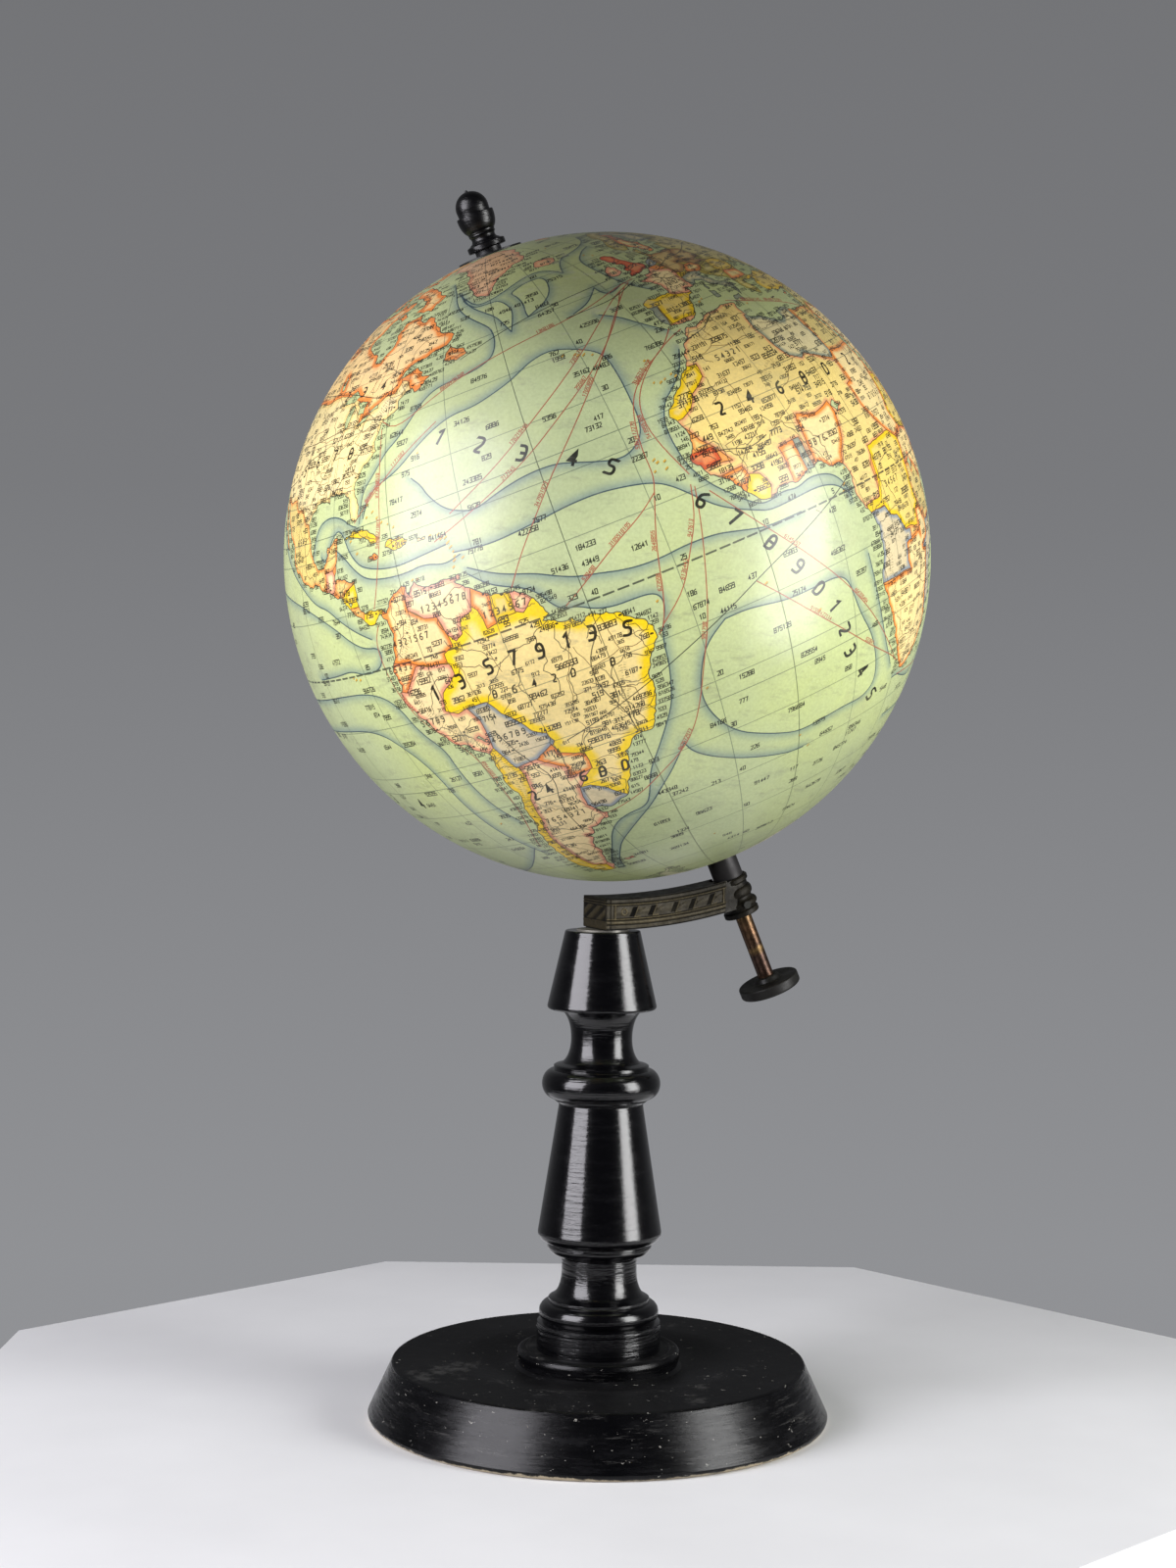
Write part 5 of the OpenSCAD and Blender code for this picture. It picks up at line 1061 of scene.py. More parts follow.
def draw_scattered_figures():
    """Figures wherever there is still room, close together on land and sparse at sea."""
    for y in np.arange(-75 * DEG, 78 * DEG, 2.4):
        lat = y / DEG
        c = narrowing(lat)
        xs = np.arange(-180 * c * DEG, 180 * c * DEG, 5.4)
        xs = xs + RNG.uniform(-2, 2, len(xs))
        spots = np.stack([xs / c / DEG, lat + RNG.uniform(-0.3, 0.3, len(xs))], 1)
        for spot, here in zip(spots, region(spots)):
            text = any_number(3, 7)
            height = RNG.choice([1.2, 1.4, 1.6, 1.9]) if here else 1.7
            width = FIGURE_PITCH * height * len(text)
            wanted = lat > -60 and RNG.uniform() < (0.78 if here else 0.055)
            if wanted and free(*spot, width, height):
                number(text, *spot, height)


draw_lines()
draw_streams()
draw_grid()
draw_large_figures()
draw_degree_figures()
draw_places()
draw_ranges()
draw_route_figures()
draw_town_figures()
draw_coast_figures()
draw_scattered_figures()
# For every stroke: half its width, its ink, its strength and its rank
HALVES, INKS, STRENGTHS, RANKS = (np.array(column) for column in list(zip(*STROKES))[1:])
# For every land that region tells apart, and first for the sea: its tints and its band's width
TONES = np.array([np.zeros((2, 3))] + [[linear(c) for c in TINTS[tint]] for tint in TINT_OF])
BANDS = np.array([0] + [BAND.get(tint, 0.9) for tint in TINT_OF])

# Millimetres on a sheet's flat plane: the cells it is searched by, the spacing of its mesh, how
# close the mesh's extra points may lie, and the longest step of a line, since longer ones jump
# round the back of the ball
CELL = 5.0
GRID = 2.9
CLOSEST = 0.45
LONGEST_STEP = 60
# How far from coasts and from currents the mesh has extra points, and how far currents' shade
# reaches
WASH_STEPS = (0.8, 1.5, 2.3)
FLOW_STEPS = (1.1, 2.4, 4)
SHADE_REACH = 2.5


def sweep(q, segs, pad):
    """Yields, cell by cell, the points q, the nearby segments, their distances and sides."""
    cells = {}
    lo = np.floor((np.minimum(segs[:, :2], segs[:, 2:]) - pad) / CELL).astype(int)
    hi = np.floor((np.maximum(segs[:, :2], segs[:, 2:]) + pad) / CELL).astype(int)
    for i, (low, high) in enumerate(zip(lo, hi)):
        for cx in range(low[0], high[0] + 1):
            for cy in range(low[1], high[1] + 1):
                cells.setdefault((cx, cy), []).append(i)
    key = np.floor(q / CELL).astype(int)
    code = (key[:, 0] + 500) * 1000 + key[:, 1] + 500
    order = np.argsort(code, kind="stable")
    cuts = np.nonzero(np.diff(code[order]))[0] + 1
    for part in np.split(order, cuts):
        found = cells.get(tuple(key[part[0]])) if len(part) else None
        if not found:
            continue
        a, b = segs[found, :2], segs[found, 2:]
        ab = b - a
        ap = q[part][:, None] - a
        t = np.clip((ap * ab).sum(2) / np.maximum((ab * ab).sum(1), 1e-12), 0, 1)
        d = ap - t[..., None] * ab
        side = ab[:, 0] * ap[..., 1] - ab[:, 1] * ap[..., 0]
        yield part, np.array(found), np.hypot(d[..., 0], d[..., 1]), side


def offset(p, half):
    """The two edges of a line of some width, in millimetres on the flat."""
    d = p[1:] - p[:-1]
    length = np.maximum(np.hypot(d[:, 0], d[:, 1]), 1e-9)[:, None]
    n = np.stack([-d[:, 1], d[:, 0]], 1) / length
    m = np.vstack([n[:1], n[1:] + n[:-1], n[-1:]])
    m /= np.maximum(np.hypot(m[:, 0], m[:, 1]), 0.3)[:, None]
    cos = np.clip((m * np.vstack([n[:1], n])).sum(1), 0.5, 1)[:, None]
    p = p.copy()
    p[0] -= d[0] / length[0] * half * 0.5
    p[-1] += d[-1] / length[-1] * half * 0.5
    return p + m / cos * half, p - m / cos * half


class Sheet:
    """A piece of map paper: how its flat plane lies on the ball, and where it ends."""

    def __init__(self, name, middle=None, pole=0):
        self.name, self.middle, self.pole = name, middle, pole

    def flat(self, p):
        if self.pole:
            r = (90 - self.pole * p[:, 1]) * DEG
            a = np.radians(p[:, 0]) * self.pole
            return np.stack([r * np.cos(a), r * np.sin(a)], 1)
        turn = wrapped(p[:, 0] - self.middle)
        return np.stack([turn * np.cos(np.radians(p[:, 1])) * DEG, p[:, 1] * DEG], 1)

    def round(self, xy):
        """Longitude and latitude of points on the flat plane."""
        if self.pole:
            r = np.hypot(xy[:, 0], xy[:, 1]) / DEG
            return np.stack([np.degrees(np.arctan2(xy[:, 1], xy[:, 0])) * self.pole,
                             self.pole * (90 - r)], 1)
        lat = xy[:, 1] / DEG
        c = np.maximum(np.cos(np.radians(np.clip(lat, -89, 89))), 0.02)
        return np.stack([self.middle + xy[:, 0] / DEG / c, lat], 1)

    def edge(self):
        """The closed outlines of the sheet on its flat plane."""
        if self.pole:
            out = []
            for r, n in ((POLE_PAPER_R - 0.05, 120), (POLE_HOLE_R, 48)):
                a = np.arange(n) * 2 * math.pi / n
                out.append(np.stack([r * np.cos(a), r * np.sin(a)], 1))
            return out
        n = 161
        lat = np.linspace(-GORE_END, GORE_END, n)
        half = GORE_SPAN / 2 - SEAM_GAP
        end = np.linspace(-half, half, 9)[1:-1]
        ring = np.vstack([np.stack([np.full(n, self.middle + half), lat], 1),
                          np.stack([self.middle + end[::-1], np.full(len(end), GORE_END)], 1),
                          np.stack([np.full(n, self.middle - half), lat[::-1]], 1),
                          np.stack([self.middle + end, np.full(len(end), -GORE_END)], 1)])
        return [self.flat(ring)]

    def holds(self, xy):
        if self.pole:
            r = np.hypot(xy[:, 0], xy[:, 1])
            return (r < POLE_PAPER_R - 0.04) & (r > POLE_HOLE_R)
        p = self.round(xy)
        half = GORE_SPAN / 2 - SEAM_GAP + 0.001
        return (np.abs(p[:, 0] - self.middle) < half) & (np.abs(p[:, 1]) < GORE_END)

    def near(self, p, margin=4):
        """Which points of a path lie on the sheet or within a margin of it."""
        if self.pole:
            return self.pole * p[:, 1] > GORE_END - margin
        beyond = np.abs(wrapped(p[:, 0] - self.middle)) - GORE_SPAN / 2
        c = np.maximum(np.cos(np.radians(p[:, 1])), 0.05)
        return (beyond < margin / c / DEG) & (np.abs(p[:, 1]) < GORE_END + margin)

    def segments(self, runs):
        """The straight parts of each path that lie near the sheet, on its flat plane."""
        out = []
        for run in runs:
            near = self.near(run)
            f = self.flat(run)
            s = np.hstack([f[:-1], f[1:]])[near[1:] | near[:-1]]
            out.append(s[np.hypot(s[:, 2] - s[:, 0], s[:, 3] - s[:, 1]) < LONGEST_STEP])
        return out

    def strokes(self):
        """The outlines of the strokes on the sheet, their straight parts and whose those are."""
        rings, segs, owners = [], [], []
        for owner, (path, half, *_) in enumerate(STROKES):
            near = self.near(path)
            if not near.any():
                continue
            grown = near.copy()
            grown[1:] |= near[:-1]
            grown[:-1] |= near[1:]
            cuts = np.nonzero(np.diff(np.concatenate([[0], grown.astype(int), [0]])))[0]
            for start, end in zip(cuts[::2], cuts[1::2]):
                flat = self.flat(path[start:end])
                step = np.hypot(*np.diff(flat, axis=0).T)
                if step.max() > LONGEST_STEP:
                    continue
                flat = flat[np.concatenate([[True], step > 1e-4])]
                if len(flat) < 2:
                    continue
                left, right = offset(flat, half)
                rings.append(np.vstack([left, right[::-1]]))
                segs.append(np.hstack([flat[:-1], flat[1:]]))
                owners.append(np.full(len(flat) - 1, owner))
        return rings, np.vstack(segs), np.concatenate(owners)

    def extra_points(self, edges, flow):
        """Points that keep the mesh fine and carry the soft edges of the washes."""
        extra = []
        for segs, distances in ((edges, WASH_STEPS), (flow, FLOW_STEPS)):
            mid = (segs[:, :2] + segs[:, 2:]) / 2
            n = np.stack([segs[:, 1] - segs[:, 3], segs[:, 2] - segs[:, 0]], 1)
            n /= np.maximum(np.hypot(n[:, 0], n[:, 1]), 1e-9)[:, None]
            extra += [mid + n * d * side for d in distances for side in (1, -1)]
        box = np.vstack(self.edge())
        columns, rows = (np.arange(box[:, i].min(), box[:, i].max(), GRID) for i in (0, 1))
        grid = np.stack(np.meshgrid(columns, rows), 2).reshape(-1, 2)
        extra.append(grid + RNG.uniform(-0.5, 0.5, grid.shape))
        extra = np.vstack(extra)
        extra = extra[self.holds(extra)]
        _, first = np.unique(np.round(extra / CLOSEST).astype(int), axis=0, return_index=True)
        return extra[np.sort(first)]


def ring_edges(rings):
    """The edges of closed rings whose points follow each other in one list."""
    edges, start = [], 0
    for ring in rings:
        n = len(ring)
        edges.extend((start + i, start + (i + 1) % n) for i in range(n))
        start += n
    return edges


def on_ball(p, r):
    """Object-frame places in metres of longitudes and latitudes at a radius in millimetres."""
    a = np.radians(p[:, 0] + GREENWICH_TURN)
    la = np.radians(p[:, 1])
    x, y, z = np.cos(la) * np.cos(a), np.cos(la) * np.sin(a), np.sin(la)
    c, s = math.cos(TILT), math.sin(TILT)
    n = np.stack([x * c - z * s, y, x * s + z * c], 1)
    return (n * r + [0, 0, BALL_Z]) / 1000, n


def build_mesh(name, verts, tris, colours, normals):
    """A smooth mesh with a colour at each corner of each triangle."""
    mesh = bpy.data.meshes.new(name)
    mesh.vertices.add(len(verts))
    mesh.vertices.foreach_set("co", np.ascontiguousarray(verts, np.float32).ravel())
    mesh.loops.add(3 * len(tris))
    mesh.loops.foreach_set("vertex_index", np.ascontiguousarray(tris, np.int32).ravel())
    mesh.polygons.add(len(tris))
    mesh.polygons.foreach_set("loop_start", np.arange(0, 3 * len(tris), 3, dtype=np.int32))
    mesh.update(calc_edges=True)
    mesh.polygons.foreach_set("use_smooth", np.ones(len(tris), bool))
    layer = mesh.color_attributes.new("paint", "FLOAT_COLOR", "CORNER")
    rgba = np.ones((3 * len(tris), 4), np.float32)
    rgba[:, :3] = colours.reshape(-1, 3)
    layer.data.foreach_set("color", rgba.ravel())
    mesh.normals_split_custom_set_from_vertices([tuple(n) for n in normals])
    mesh.update()
    return mesh


def piece(name, mesh, body, slot, *nodes):
    obj = bpy.data.objects.new(name, mesh)
    bpy.context.scene.collection.objects.link(obj)
    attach(obj, body)
    if nodes:
        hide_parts(*nodes)


def washes(lands, gap, shade):
    """Corner colours before ink: a land's band that pales inland, and the sea with its shades."""
    band = BANDS[lands][:, None, None]
    wash = np.clip((gap[..., None] - band) / np.where(band > 2, 2.2, 1.1), 0, 1)
    wash = wash * wash * (3 - 2 * wash)
    tone = TONES[lands]
    land = tone[:, None, 0] * (1 - wash) + tone[:, None, 1] * wash
    s = (shade * 0.62)[..., None]
    sea = SEA * (1 - s) + CURRENT * s
    return np.where((lands > 0)[:, None, None], land, sea)


def covering_strokes(places, segs, owners):
    """The stroke of the highest rank at each place, or -1 where there is none."""
    pick = np.full(len(places), -1)
    halves = HALVES[owners]
    for part, found, dist, _ in sweep(places, segs, halves.max() + 0.05):
        rank = np.where(dist <= halves[found] * 1.03 + 0.004, RANKS[owners[found]], -1)
        pick[part] = np.where(rank.max(1) > 0, owners[found[rank.argmax(1)]], -1)
    return pick


def print_sheet(sheet, material):
    """Draws the map on one sheet: a mesh whose edges follow every printed line."""
    rings, segs, owners = sheet.strokes()
    rings = sheet.edge() + rings
    edges = np.vstack(sheet.segments(coast_lines + border_lines))
    flow = sheet.segments([run for run, _ in current_lines])
    flow_sides = np.concatenate([np.full(len(f), side)
                                 for f, (_, side) in zip(flow, current_lines)])
    flow = np.vstack(flow)
    flat_points = [Vector(p) for p in np.vstack(rings + [sheet.extra_points(edges, flow)])]
    verts, _, faces, *_ = delaunay_2d_cdt(flat_points, ring_edges(rings), [], 0, 1e-3, False)
    verts = np.array([tuple(v) for v in verts])
    faces = np.array([f for f in faces if len(f) == 3])
    faces = faces[sheet.holds(verts[faces].mean(1))]
    used, faces = np.unique(faces, return_inverse=True)
    faces = faces.reshape(-1, 3)
    verts = verts[used]
    mid = verts[faces].mean(1)

    gap = np.full(len(verts), 9.0)
    for part, _, dist, _ in sweep(verts, edges, 4):
        gap[part] = dist.min(1)
    shade = np.zeros(len(verts))
    for part, found, dist, side in sweep(verts, flow, 6):
        on_side = side * flow_sides[found] > -0.02
        shade[part] = np.where(on_side, np.exp(-(dist / SHADE_REACH) ** 2), 0).max(1)
    colour = washes(region(sheet.round(mid)), gap[faces], shade[faces])
    pick = covering_strokes(mid, segs, owners)
    inked = pick >= 0
    pick = pick[inked]
    a = STRENGTHS[pick][:, None, None]
    colour[inked] = colour[inked] * (1 - a) + INKS[pick][:, None] * a

    place, normal = on_ball(sheet.round(verts), BALL_R)
    mesh = build_mesh("map_" + sheet.name, place, faces, colour, normal)
    mesh.materials.append(material)
    piece("map_" + sheet.name, mesh, "globe", "map_paper", sheet.name)


class Nodes:
    """Short hand for building a tree of shader nodes."""

    def __init__(self, tree):
        self.nodes, self.links = tree.nodes, tree.links
        self.nodes.clear()

    def set(self, socket, value):
        if isinstance(value, bpy.types.NodeSocket):
            self.links.new(value, socket)
        else:
            socket.default_value = value

    def node(self, kind, inputs=(), **settings):
        n = self.nodes.new("ShaderNode" + kind)
        for key, value in settings.items():
            setattr(n, key, value)
        for key, value in dict(inputs).items():
            self.set(n.inputs[key], value)
        return n

    def calc(self, operation, *values):
        return self.node("Math", dict(enumerate(values)), operation=operation).outputs[0]

    def scaled(self, value, factor):
        return self.calc("MULTIPLY", value, factor)

    def dot(self, value, direction):
        n = self.node("VectorMath", {0: value, 1: direction}, operation="DOT_PRODUCT")
        return n.outputs["Value"]

    def span(self, value, low, high, first=0, last=1):
        """A value that goes from first to last while the given one goes from low to high."""
        return self.node("MapRange", dict(enumerate((value, low, high, first, last)))).outputs[0]

    def ramp(self, value, *stops):
        n = self.node("ValToRGB", {"Fac": value})
        while len(n.color_ramp.elements) < len(stops):
            n.color_ramp.elements.new(0.5)
        for e, (at, c) in zip(n.color_ramp.elements, stops):
            e.position = at
            e.color = (*c, 1) if hasattr(c, "__len__") else (c, c, c, 1)
        return n.outputs[0]

    def mix(self, a, b, factor, mode="MIX"):
        """Two colours mixed, each of them a socket or three numbers."""
        a, b = (c if isinstance(c, bpy.types.NodeSocket) else (*c, 1) for c in (a, b))
        n = self.node("Mix", {}, data_type="RGBA", blend_type=mode)
        for i, value in ((0, factor), (6, a), (7, b)):
            self.set(n.inputs[i], value)
        return n.outputs[2]


class Look(Nodes):
    """A material and its shader."""

    def __init__(self, name):
        self.material = bpy.data.materials.new(name)
        self.material.use_nodes = True
        super().__init__(self.material.node_tree)
        self.shader = self.node("BsdfPrincipled")
        self.node("OutputMaterial", {0: self.shader.outputs[0]})
        self.place = self.node("TexCoord").outputs["Object"]

    def put(self, **values):
        for key, value in values.items():
            self.set(self.shader.inputs[key.replace("_", " ")], value)

    def linked(self, name):
        """What one of the shader's inputs is linked to."""
        return self.shader.inputs[name].links[0].from_socket

    def stretched(self, scale):
        return self.node("Mapping", {"Vector": self.place, "Scale": scale}).outputs[0]

    def noise(self, scale, detail=4, rough=0.55, vector=None):
        n = self.node("TexNoise", {"Vector": vector or self.place, "Scale": scale,
                                   "Detail": detail, "Roughness": rough})
        return n.outputs["Fac"]

    def bump(self, height, distance, strength=1, normal=None):
        n = self.node("Bump", {"Height": height, "Distance": distance, "Strength": strength})
        if normal:
            self.links.new(normal, n.inputs["Normal"])
        return n.outputs[0]

    def along(self, lon, lat):
        """How far a point lies from the ball's centre towards a place on the map, in metres."""
        _, out = on_ball(np.array([[lon, lat]]), BALL_R)
        centre = np.array([0, 0, BALL_Z / 1000])
        return self.calc("SUBTRACT", self.dot(self.place, out[0].tolist()), float(centre @ out[0]))


# Parts of the paper that are darker in the photograph, painted shade round both poles and round
# Europe and a darker patch in the mid-Atlantic: the place they lie round, how far towards it they
# start and reach their full strength in metres, the tint that darkens them, and how much
SHADE_AND_DARK_PATCHES = (((0, 90), 0.07, 0.118, (0.7, 0.7, 0.68), 0.9),
          ((15, 55), 0.098, 0.121, (0.36, 0.35, 0.3), 0.9),
          ((-36, 37), 0.112, 0.125, (0.72, 0.73, 0.74), 0.95),
          ((0, -90), 0.07, 0.122, (0.66, 0.66, 0.66), 0.9))


def map_paper():
    """Printed paper that is blotched, foxed and grimy under its old varnish, with painted shade
    towards both poles and round Europe.
    """
    k = Look("map_paper")
    paint = k.node("Attribute", attribute_name="paint").outputs["Color"]
    blot = k.ramp(k.noise(11, 6, 0.62), (0.3, (0.84, 0.85, 0.88)), (0.48, (1.03, 1.02, 1.03)),
                  (0.7, (1.16, 1.14, 0.92)))
    aged = k.mix(paint, blot, 1.0, "MULTIPLY")
    foxed = k.ramp(k.noise(34, 7, 0.72), (0.58, 0.0), (0.72, 0.5))
    aged = k.mix(aged, (0.42, 0.4, 0.2), k.scaled(foxed, 0.5))
    # painted shade towards both poles and round Europe, and a darker patch in the mid-Atlantic
    for place, start, full, tint, strength in SHADE_AND_DARK_PATCHES:
        reach = k.span(k.along(*place), start, full)
        aged = k.mix(aged, tint, k.scaled(reach, strength), "MULTIPLY")
    grime = k.ramp(k.noise(160, 5, 0.75, k.stretched((0.5, 0.5, 1.6))), (0.54, 0.0), (0.7, 0.7))
    aged = k.mix(aged, (0.2, 0.2, 0.15), k.scaled(grime, 0.55))
    fibre = k.ramp(k.noise(900, 3, 0.6), (0.3, 0.9), (0.7, 1.05))
    aged = k.mix(aged, fibre, 1.0, "MULTIPLY")
    gloss = k.ramp(k.noise(26, 6, 0.65), (0.35, 0.26), (0.65, 0.46))
    h = k.bump(k.noise(28, 3, 0.5), 0.0008, 0.4)
    h = k.bump(k.noise(240, 4, 0.6), 0.0001, 0.6, h)
    k.put(Base_Color=aged, Roughness=gloss, Normal=h, Coat_Weight=0.33, Coat_Roughness=0.24,
          Specular_IOR_Level=0.45)
    return k.material


paper = map_paper()
for i in range(12):
    print_sheet(Sheet("gore_%02d" % (i + 1), FIRST_SEAM + GORE_SPAN * (i + 0.5)), paper)
print_sheet(Sheet("calotte_north", pole=1), paper)
print_sheet(Sheet("calotte_south", pole=-1), paper)


def lacquer(name, low, high, coat, gloss, wear):
    """Black lacquer on turned wood: fine turning marks, dust, scuffs and a few chips."""
    k = Look(name)
    turned = k.noise(1, 4, 0.6, k.stretched((55, 55, 700)))
    scuff = k.noise(60, 6, 0.7, k.stretched((1, 1, 5)))
    dust = k.scaled(k.ramp(scuff, (0.52, 0.0), (0.8, 1.0)), wear)
    scratch = k.ramp(k.noise(1, 5, 0.75, k.stretched((90, 90, 2200))), (0.68, 0.0), (0.76, 1.0))
    chips = k.ramp(k.noise(330, 3, 0.7), (0.74, 0.0), (0.77, 1.0))
    col = k.mix((0.0012, 0.0012, 0.0016), (0.006, 0.006, 0.007), dust)
    col = k.mix(col, (0.03, 0.029, 0.028), k.scaled(scratch, 0.4 * wear))
    col = k.mix(col, (0.2, 0.17, 0.13), k.scaled(chips, 0.35 * wear))
    h = k.bump(turned, 0.00045, 0.5)
    h = k.bump(k.noise(140, 3, 0.6), 0.00008, 0.35, h)
    k.put(Base_Color=col, Roughness=k.ramp(scuff, (0.3, low), (0.75, high)), Normal=h,
          Coat_Normal=h, Coat_Weight=coat, Coat_Roughness=0.1, Specular_IOR_Level=gloss)
    return k


def base_lacquer():
    """The base's lacquer, satin on its side and worn to the wood at its lower edge."""
    k = lacquer("base_lacquer", 0.2, 0.34, 0.0, 0.22, 1.2)
    up = k.node("SeparateXYZ", {0: k.node("NewGeometry").outputs["Normal"]}).outputs["Z"]
    matt = k.calc("ADD", k.linked("Roughness"), k.span(up, 0.7, 0.95, 0, 0.3))
    height = k.node("SeparateXYZ", {0: k.place}).outputs["Z"]
    worn = k.scaled(k.calc("MULTIPLY", k.noise(150, 5, 0.7), k.noise(13, 2)), 0.0088)
    edge = k.span(k.calc("SUBTRACT", worn, height), 0.0006, 0.0012)
    col = k.mix(k.linked("Base Color"), (0.38, 0.32, 0.22), k.scaled(edge, 0.85))
    rubs = k.ramp(k.noise(1, 6, 0.8, k.stretched((38, 38, 420))), (0.57, 0.0), (0.67, 1.0))
    col = k.mix(col, (0.075, 0.073, 0.07), k.scaled(rubs, 0.45))
    nicks = k.ramp(k.noise(1, 3, 0.8, k.stretched((240, 240, 520))), (0.672, 0.0), (0.7, 1.0))
    col = k.mix(col, (0.3, 0.29, 0.26), k.scaled(nicks, 0.7))
    k.put(Base_Color=col, Roughness=matt)
    return k


def plain(name, colour, rough, metal, gloss):
    """A plainly finished surface with uneven tone, roughness and fine grain."""
    k = Look(name)
    col = k.mix(colour, k.ramp(k.noise(75, 5, 0.6), (0.3, 0.7), (0.7, 1.24)), 1.0, "MULTIPLY")
    uneven = k.ramp(k.noise(150, 4), (0.3, rough * 0.8), (0.7, min(1, rough * 1.3)))
    k.put(Base_Color=col, Roughness=uneven, Metallic=metal,
          Normal=k.bump(k.noise(300, 4, 0.6), 0.0001, 0.5), Specular_IOR_Level=gloss)
    return k


def rod_brass():
    """Brown worn brass that is bright at its ends and in one rubbed band."""
    k = Look("worn_brass")
    t = k.calc("ADD", k.span(k.along(0, 90), -0.185, -0.145), k.scaled(k.noise(170, 3), 0.08))
    col = k.ramp(t, (0.06, (0.2, 0.1, 0.045)), (0.14, (0.075, 0.042, 0.028)),
                 (0.36, (0.06, 0.035, 0.026)), (0.425, (0.2, 0.125, 0.05)),
                 (0.47, (0.07, 0.04, 0.024)), (0.66, (0.1, 0.055, 0.028)),
                 (0.8, (0.15, 0.092, 0.042)), (1.0, (0.13, 0.08, 0.038)))
    stains = k.ramp(k.noise(420, 5, 0.7), (0.38, 0.45), (0.6, 1.1))
    col = k.mix(col, stains, 1.0, "MULTIPLY")
    k.put(Base_Color=col, Roughness=k.ramp(k.noise(240, 4), (0.3, 0.26), (0.7, 0.46)),
          Metallic=0.85, Normal=k.bump(k.noise(500, 4, 0.6), 0.00008, 0.5))
    return k


def casting(name, mask=None):
    """Dark bronze, brighter and olive where its relief stands high and is rubbed. A mask also
    carries painted shade, near black in the relief's gaps and grooves; without one, the arm's sides
    are a little brighter than its top and bottom.
    """
    k = Look(name)
    if mask:
        # The mask: how rubbed each point is, and painted shade near black in the gaps and grooves
        rub_and_shade = k.node("Attribute", attribute_name=mask).outputs["Fac"]
    else:
        split = k.node("SeparateXYZ", {0: k.place})
        half = k.span(split.outputs["X"], 0, 0.056, 0.012, 0.0065)
        depth = k.calc("SUBTRACT", half, k.calc("ABSOLUTE", split.outputs["Y"]))
        rub_and_shade = k.scaled(k.span(depth, 0.0011, 0.0001), 0.06)
    col = k.mix((0.003, 0.0028, 0.0023), (0.092, 0.073, 0.036), rub_and_shade)
    col = k.mix(col, k.ramp(k.noise(700, 6, 0.7), (0.3, 0.5), (0.7, 1.4)), 1.0, "MULTIPLY")
    worn = k.ramp(k.noise(90, 4, 0.6), (0.5, 0.0), (0.75, 1.0))
    col = k.mix(col, (0.04, 0.033, 0.02), k.scaled(worn, 0.25))
    gloss = k.ramp(k.noise(300, 4), (0.3, 0.4), (0.7, 0.6))
    if mask:
        gloss = k.calc("ADD", gloss, k.span(rub_and_shade, 0, 0.15, 0.45, 0))
    k.put(Base_Color=col, Roughness=gloss, Metallic=0.35,
          Normal=k.bump(k.noise(650, 5, 0.7), 0.0002, 0.6), Specular_IOR_Level=0.2)
    return k


# The arm's cast ornament in millimetres: x and y run as in the object's frame, and v down from
# the arm's upper edge
ARM_CENTRE_Z = 419.8
ARM_BEND = 225
ARM_H = 12.5
ARM_END = -3.4
ARM_HALF = (12, 6.5)
ARM_REACH = 56
SIDE_END = 50.5
# Mouldings along the side: where, half as wide, height and how rubbed; then grooves and posts
MOULDINGS = ((2.85, 0.75, 0.4, 0.6), (4.2, 0.26, 0.45, 0.95), (9.95, 0.3, 0.5, 0.8))
GROOVES = (1.9, 3.75, 10.5)
POSTS = (0.3, 49.4)
# The field of leaves between the mouldings, and where along it one leaf ends
LEAF_LOW, LEAF_HIGH = 4.5, 9.5
LEAF_START, LEAF_END = 0.8, 49
LEAF_GAPS = (8.1, 16.3, 26.6, 34.6, 43)
# Grooves and ribs across the arm's blunt end, and the field between them
END_GROOVES = (3.6, 9.6, 10.6, 11.5)
END_RIBS = (3.15, 10.1, 11.05)
END_LOW, END_HIGH, END_HALF = 3.8, 9.4, 10.8
PLATE_DEPTH = 1.5


def ridge(distance, half):
    """A rounded ridge's height from 0 to 1, for a distance from its middle."""
    return np.sqrt(np.clip(1 - (distance / half) ** 2, 0, 1))


def leaves(x, v):
    """Height and how rubbed the slanting leaves are, with shade painted black into the cuts between
    them: a pillow, ribs, veins and an eye.
    """
    lean = 0.45 * (v - (LEAF_LOW + LEAF_HIGH) / 2)
    s = np.full(x.shape, 9.0)
    for gap in LEAF_GAPS:
        here = x - gap - lean
        s = np.where((here > -0.6) & (here < s), here, s)
    edge = np.minimum(v - LEAF_LOW, LEAF_HIGH - v)
    rise = np.clip(edge / 2.4, 0, 1)
    pillow = -0.25 + 0.5 * np.sqrt(rise) * np.clip((s - 1.1) / 1.6, 0, 1)
    tone = np.full(x.shape, 0.17) + 0.14 * rise
    rib = np.maximum(ridge(s - 1.75, 0.3),
                     ridge(v - LEAF_LOW - 0.45, 0.3) * (s > 1.5) * (s < 4.4))
    vein = ridge(v - LEAF_LOW - 1.4 - 0.45 * s, 0.25) * (s > 1.4) * (s < 5.2)
    eye = ridge(np.hypot(x - 4.4, v - 7) - 1.15, 0.4)
    rib = np.maximum(rib, eye)
    pillow = np.maximum(pillow + 0.18 * vein, -0.1 + 0.45 * rib)
    tone = np.maximum(tone, np.maximum(0.85 * rib, 0.4 * vein))
    cut = np.clip(2.2 * ridge(s - 0.45, 1.15), 0, 1) * (edge > 0.5)
    cut = np.maximum(cut, ridge(edge, 0.3))
    return pillow * (1 - cut) - 0.3 * cut, tone * (1 - cut)


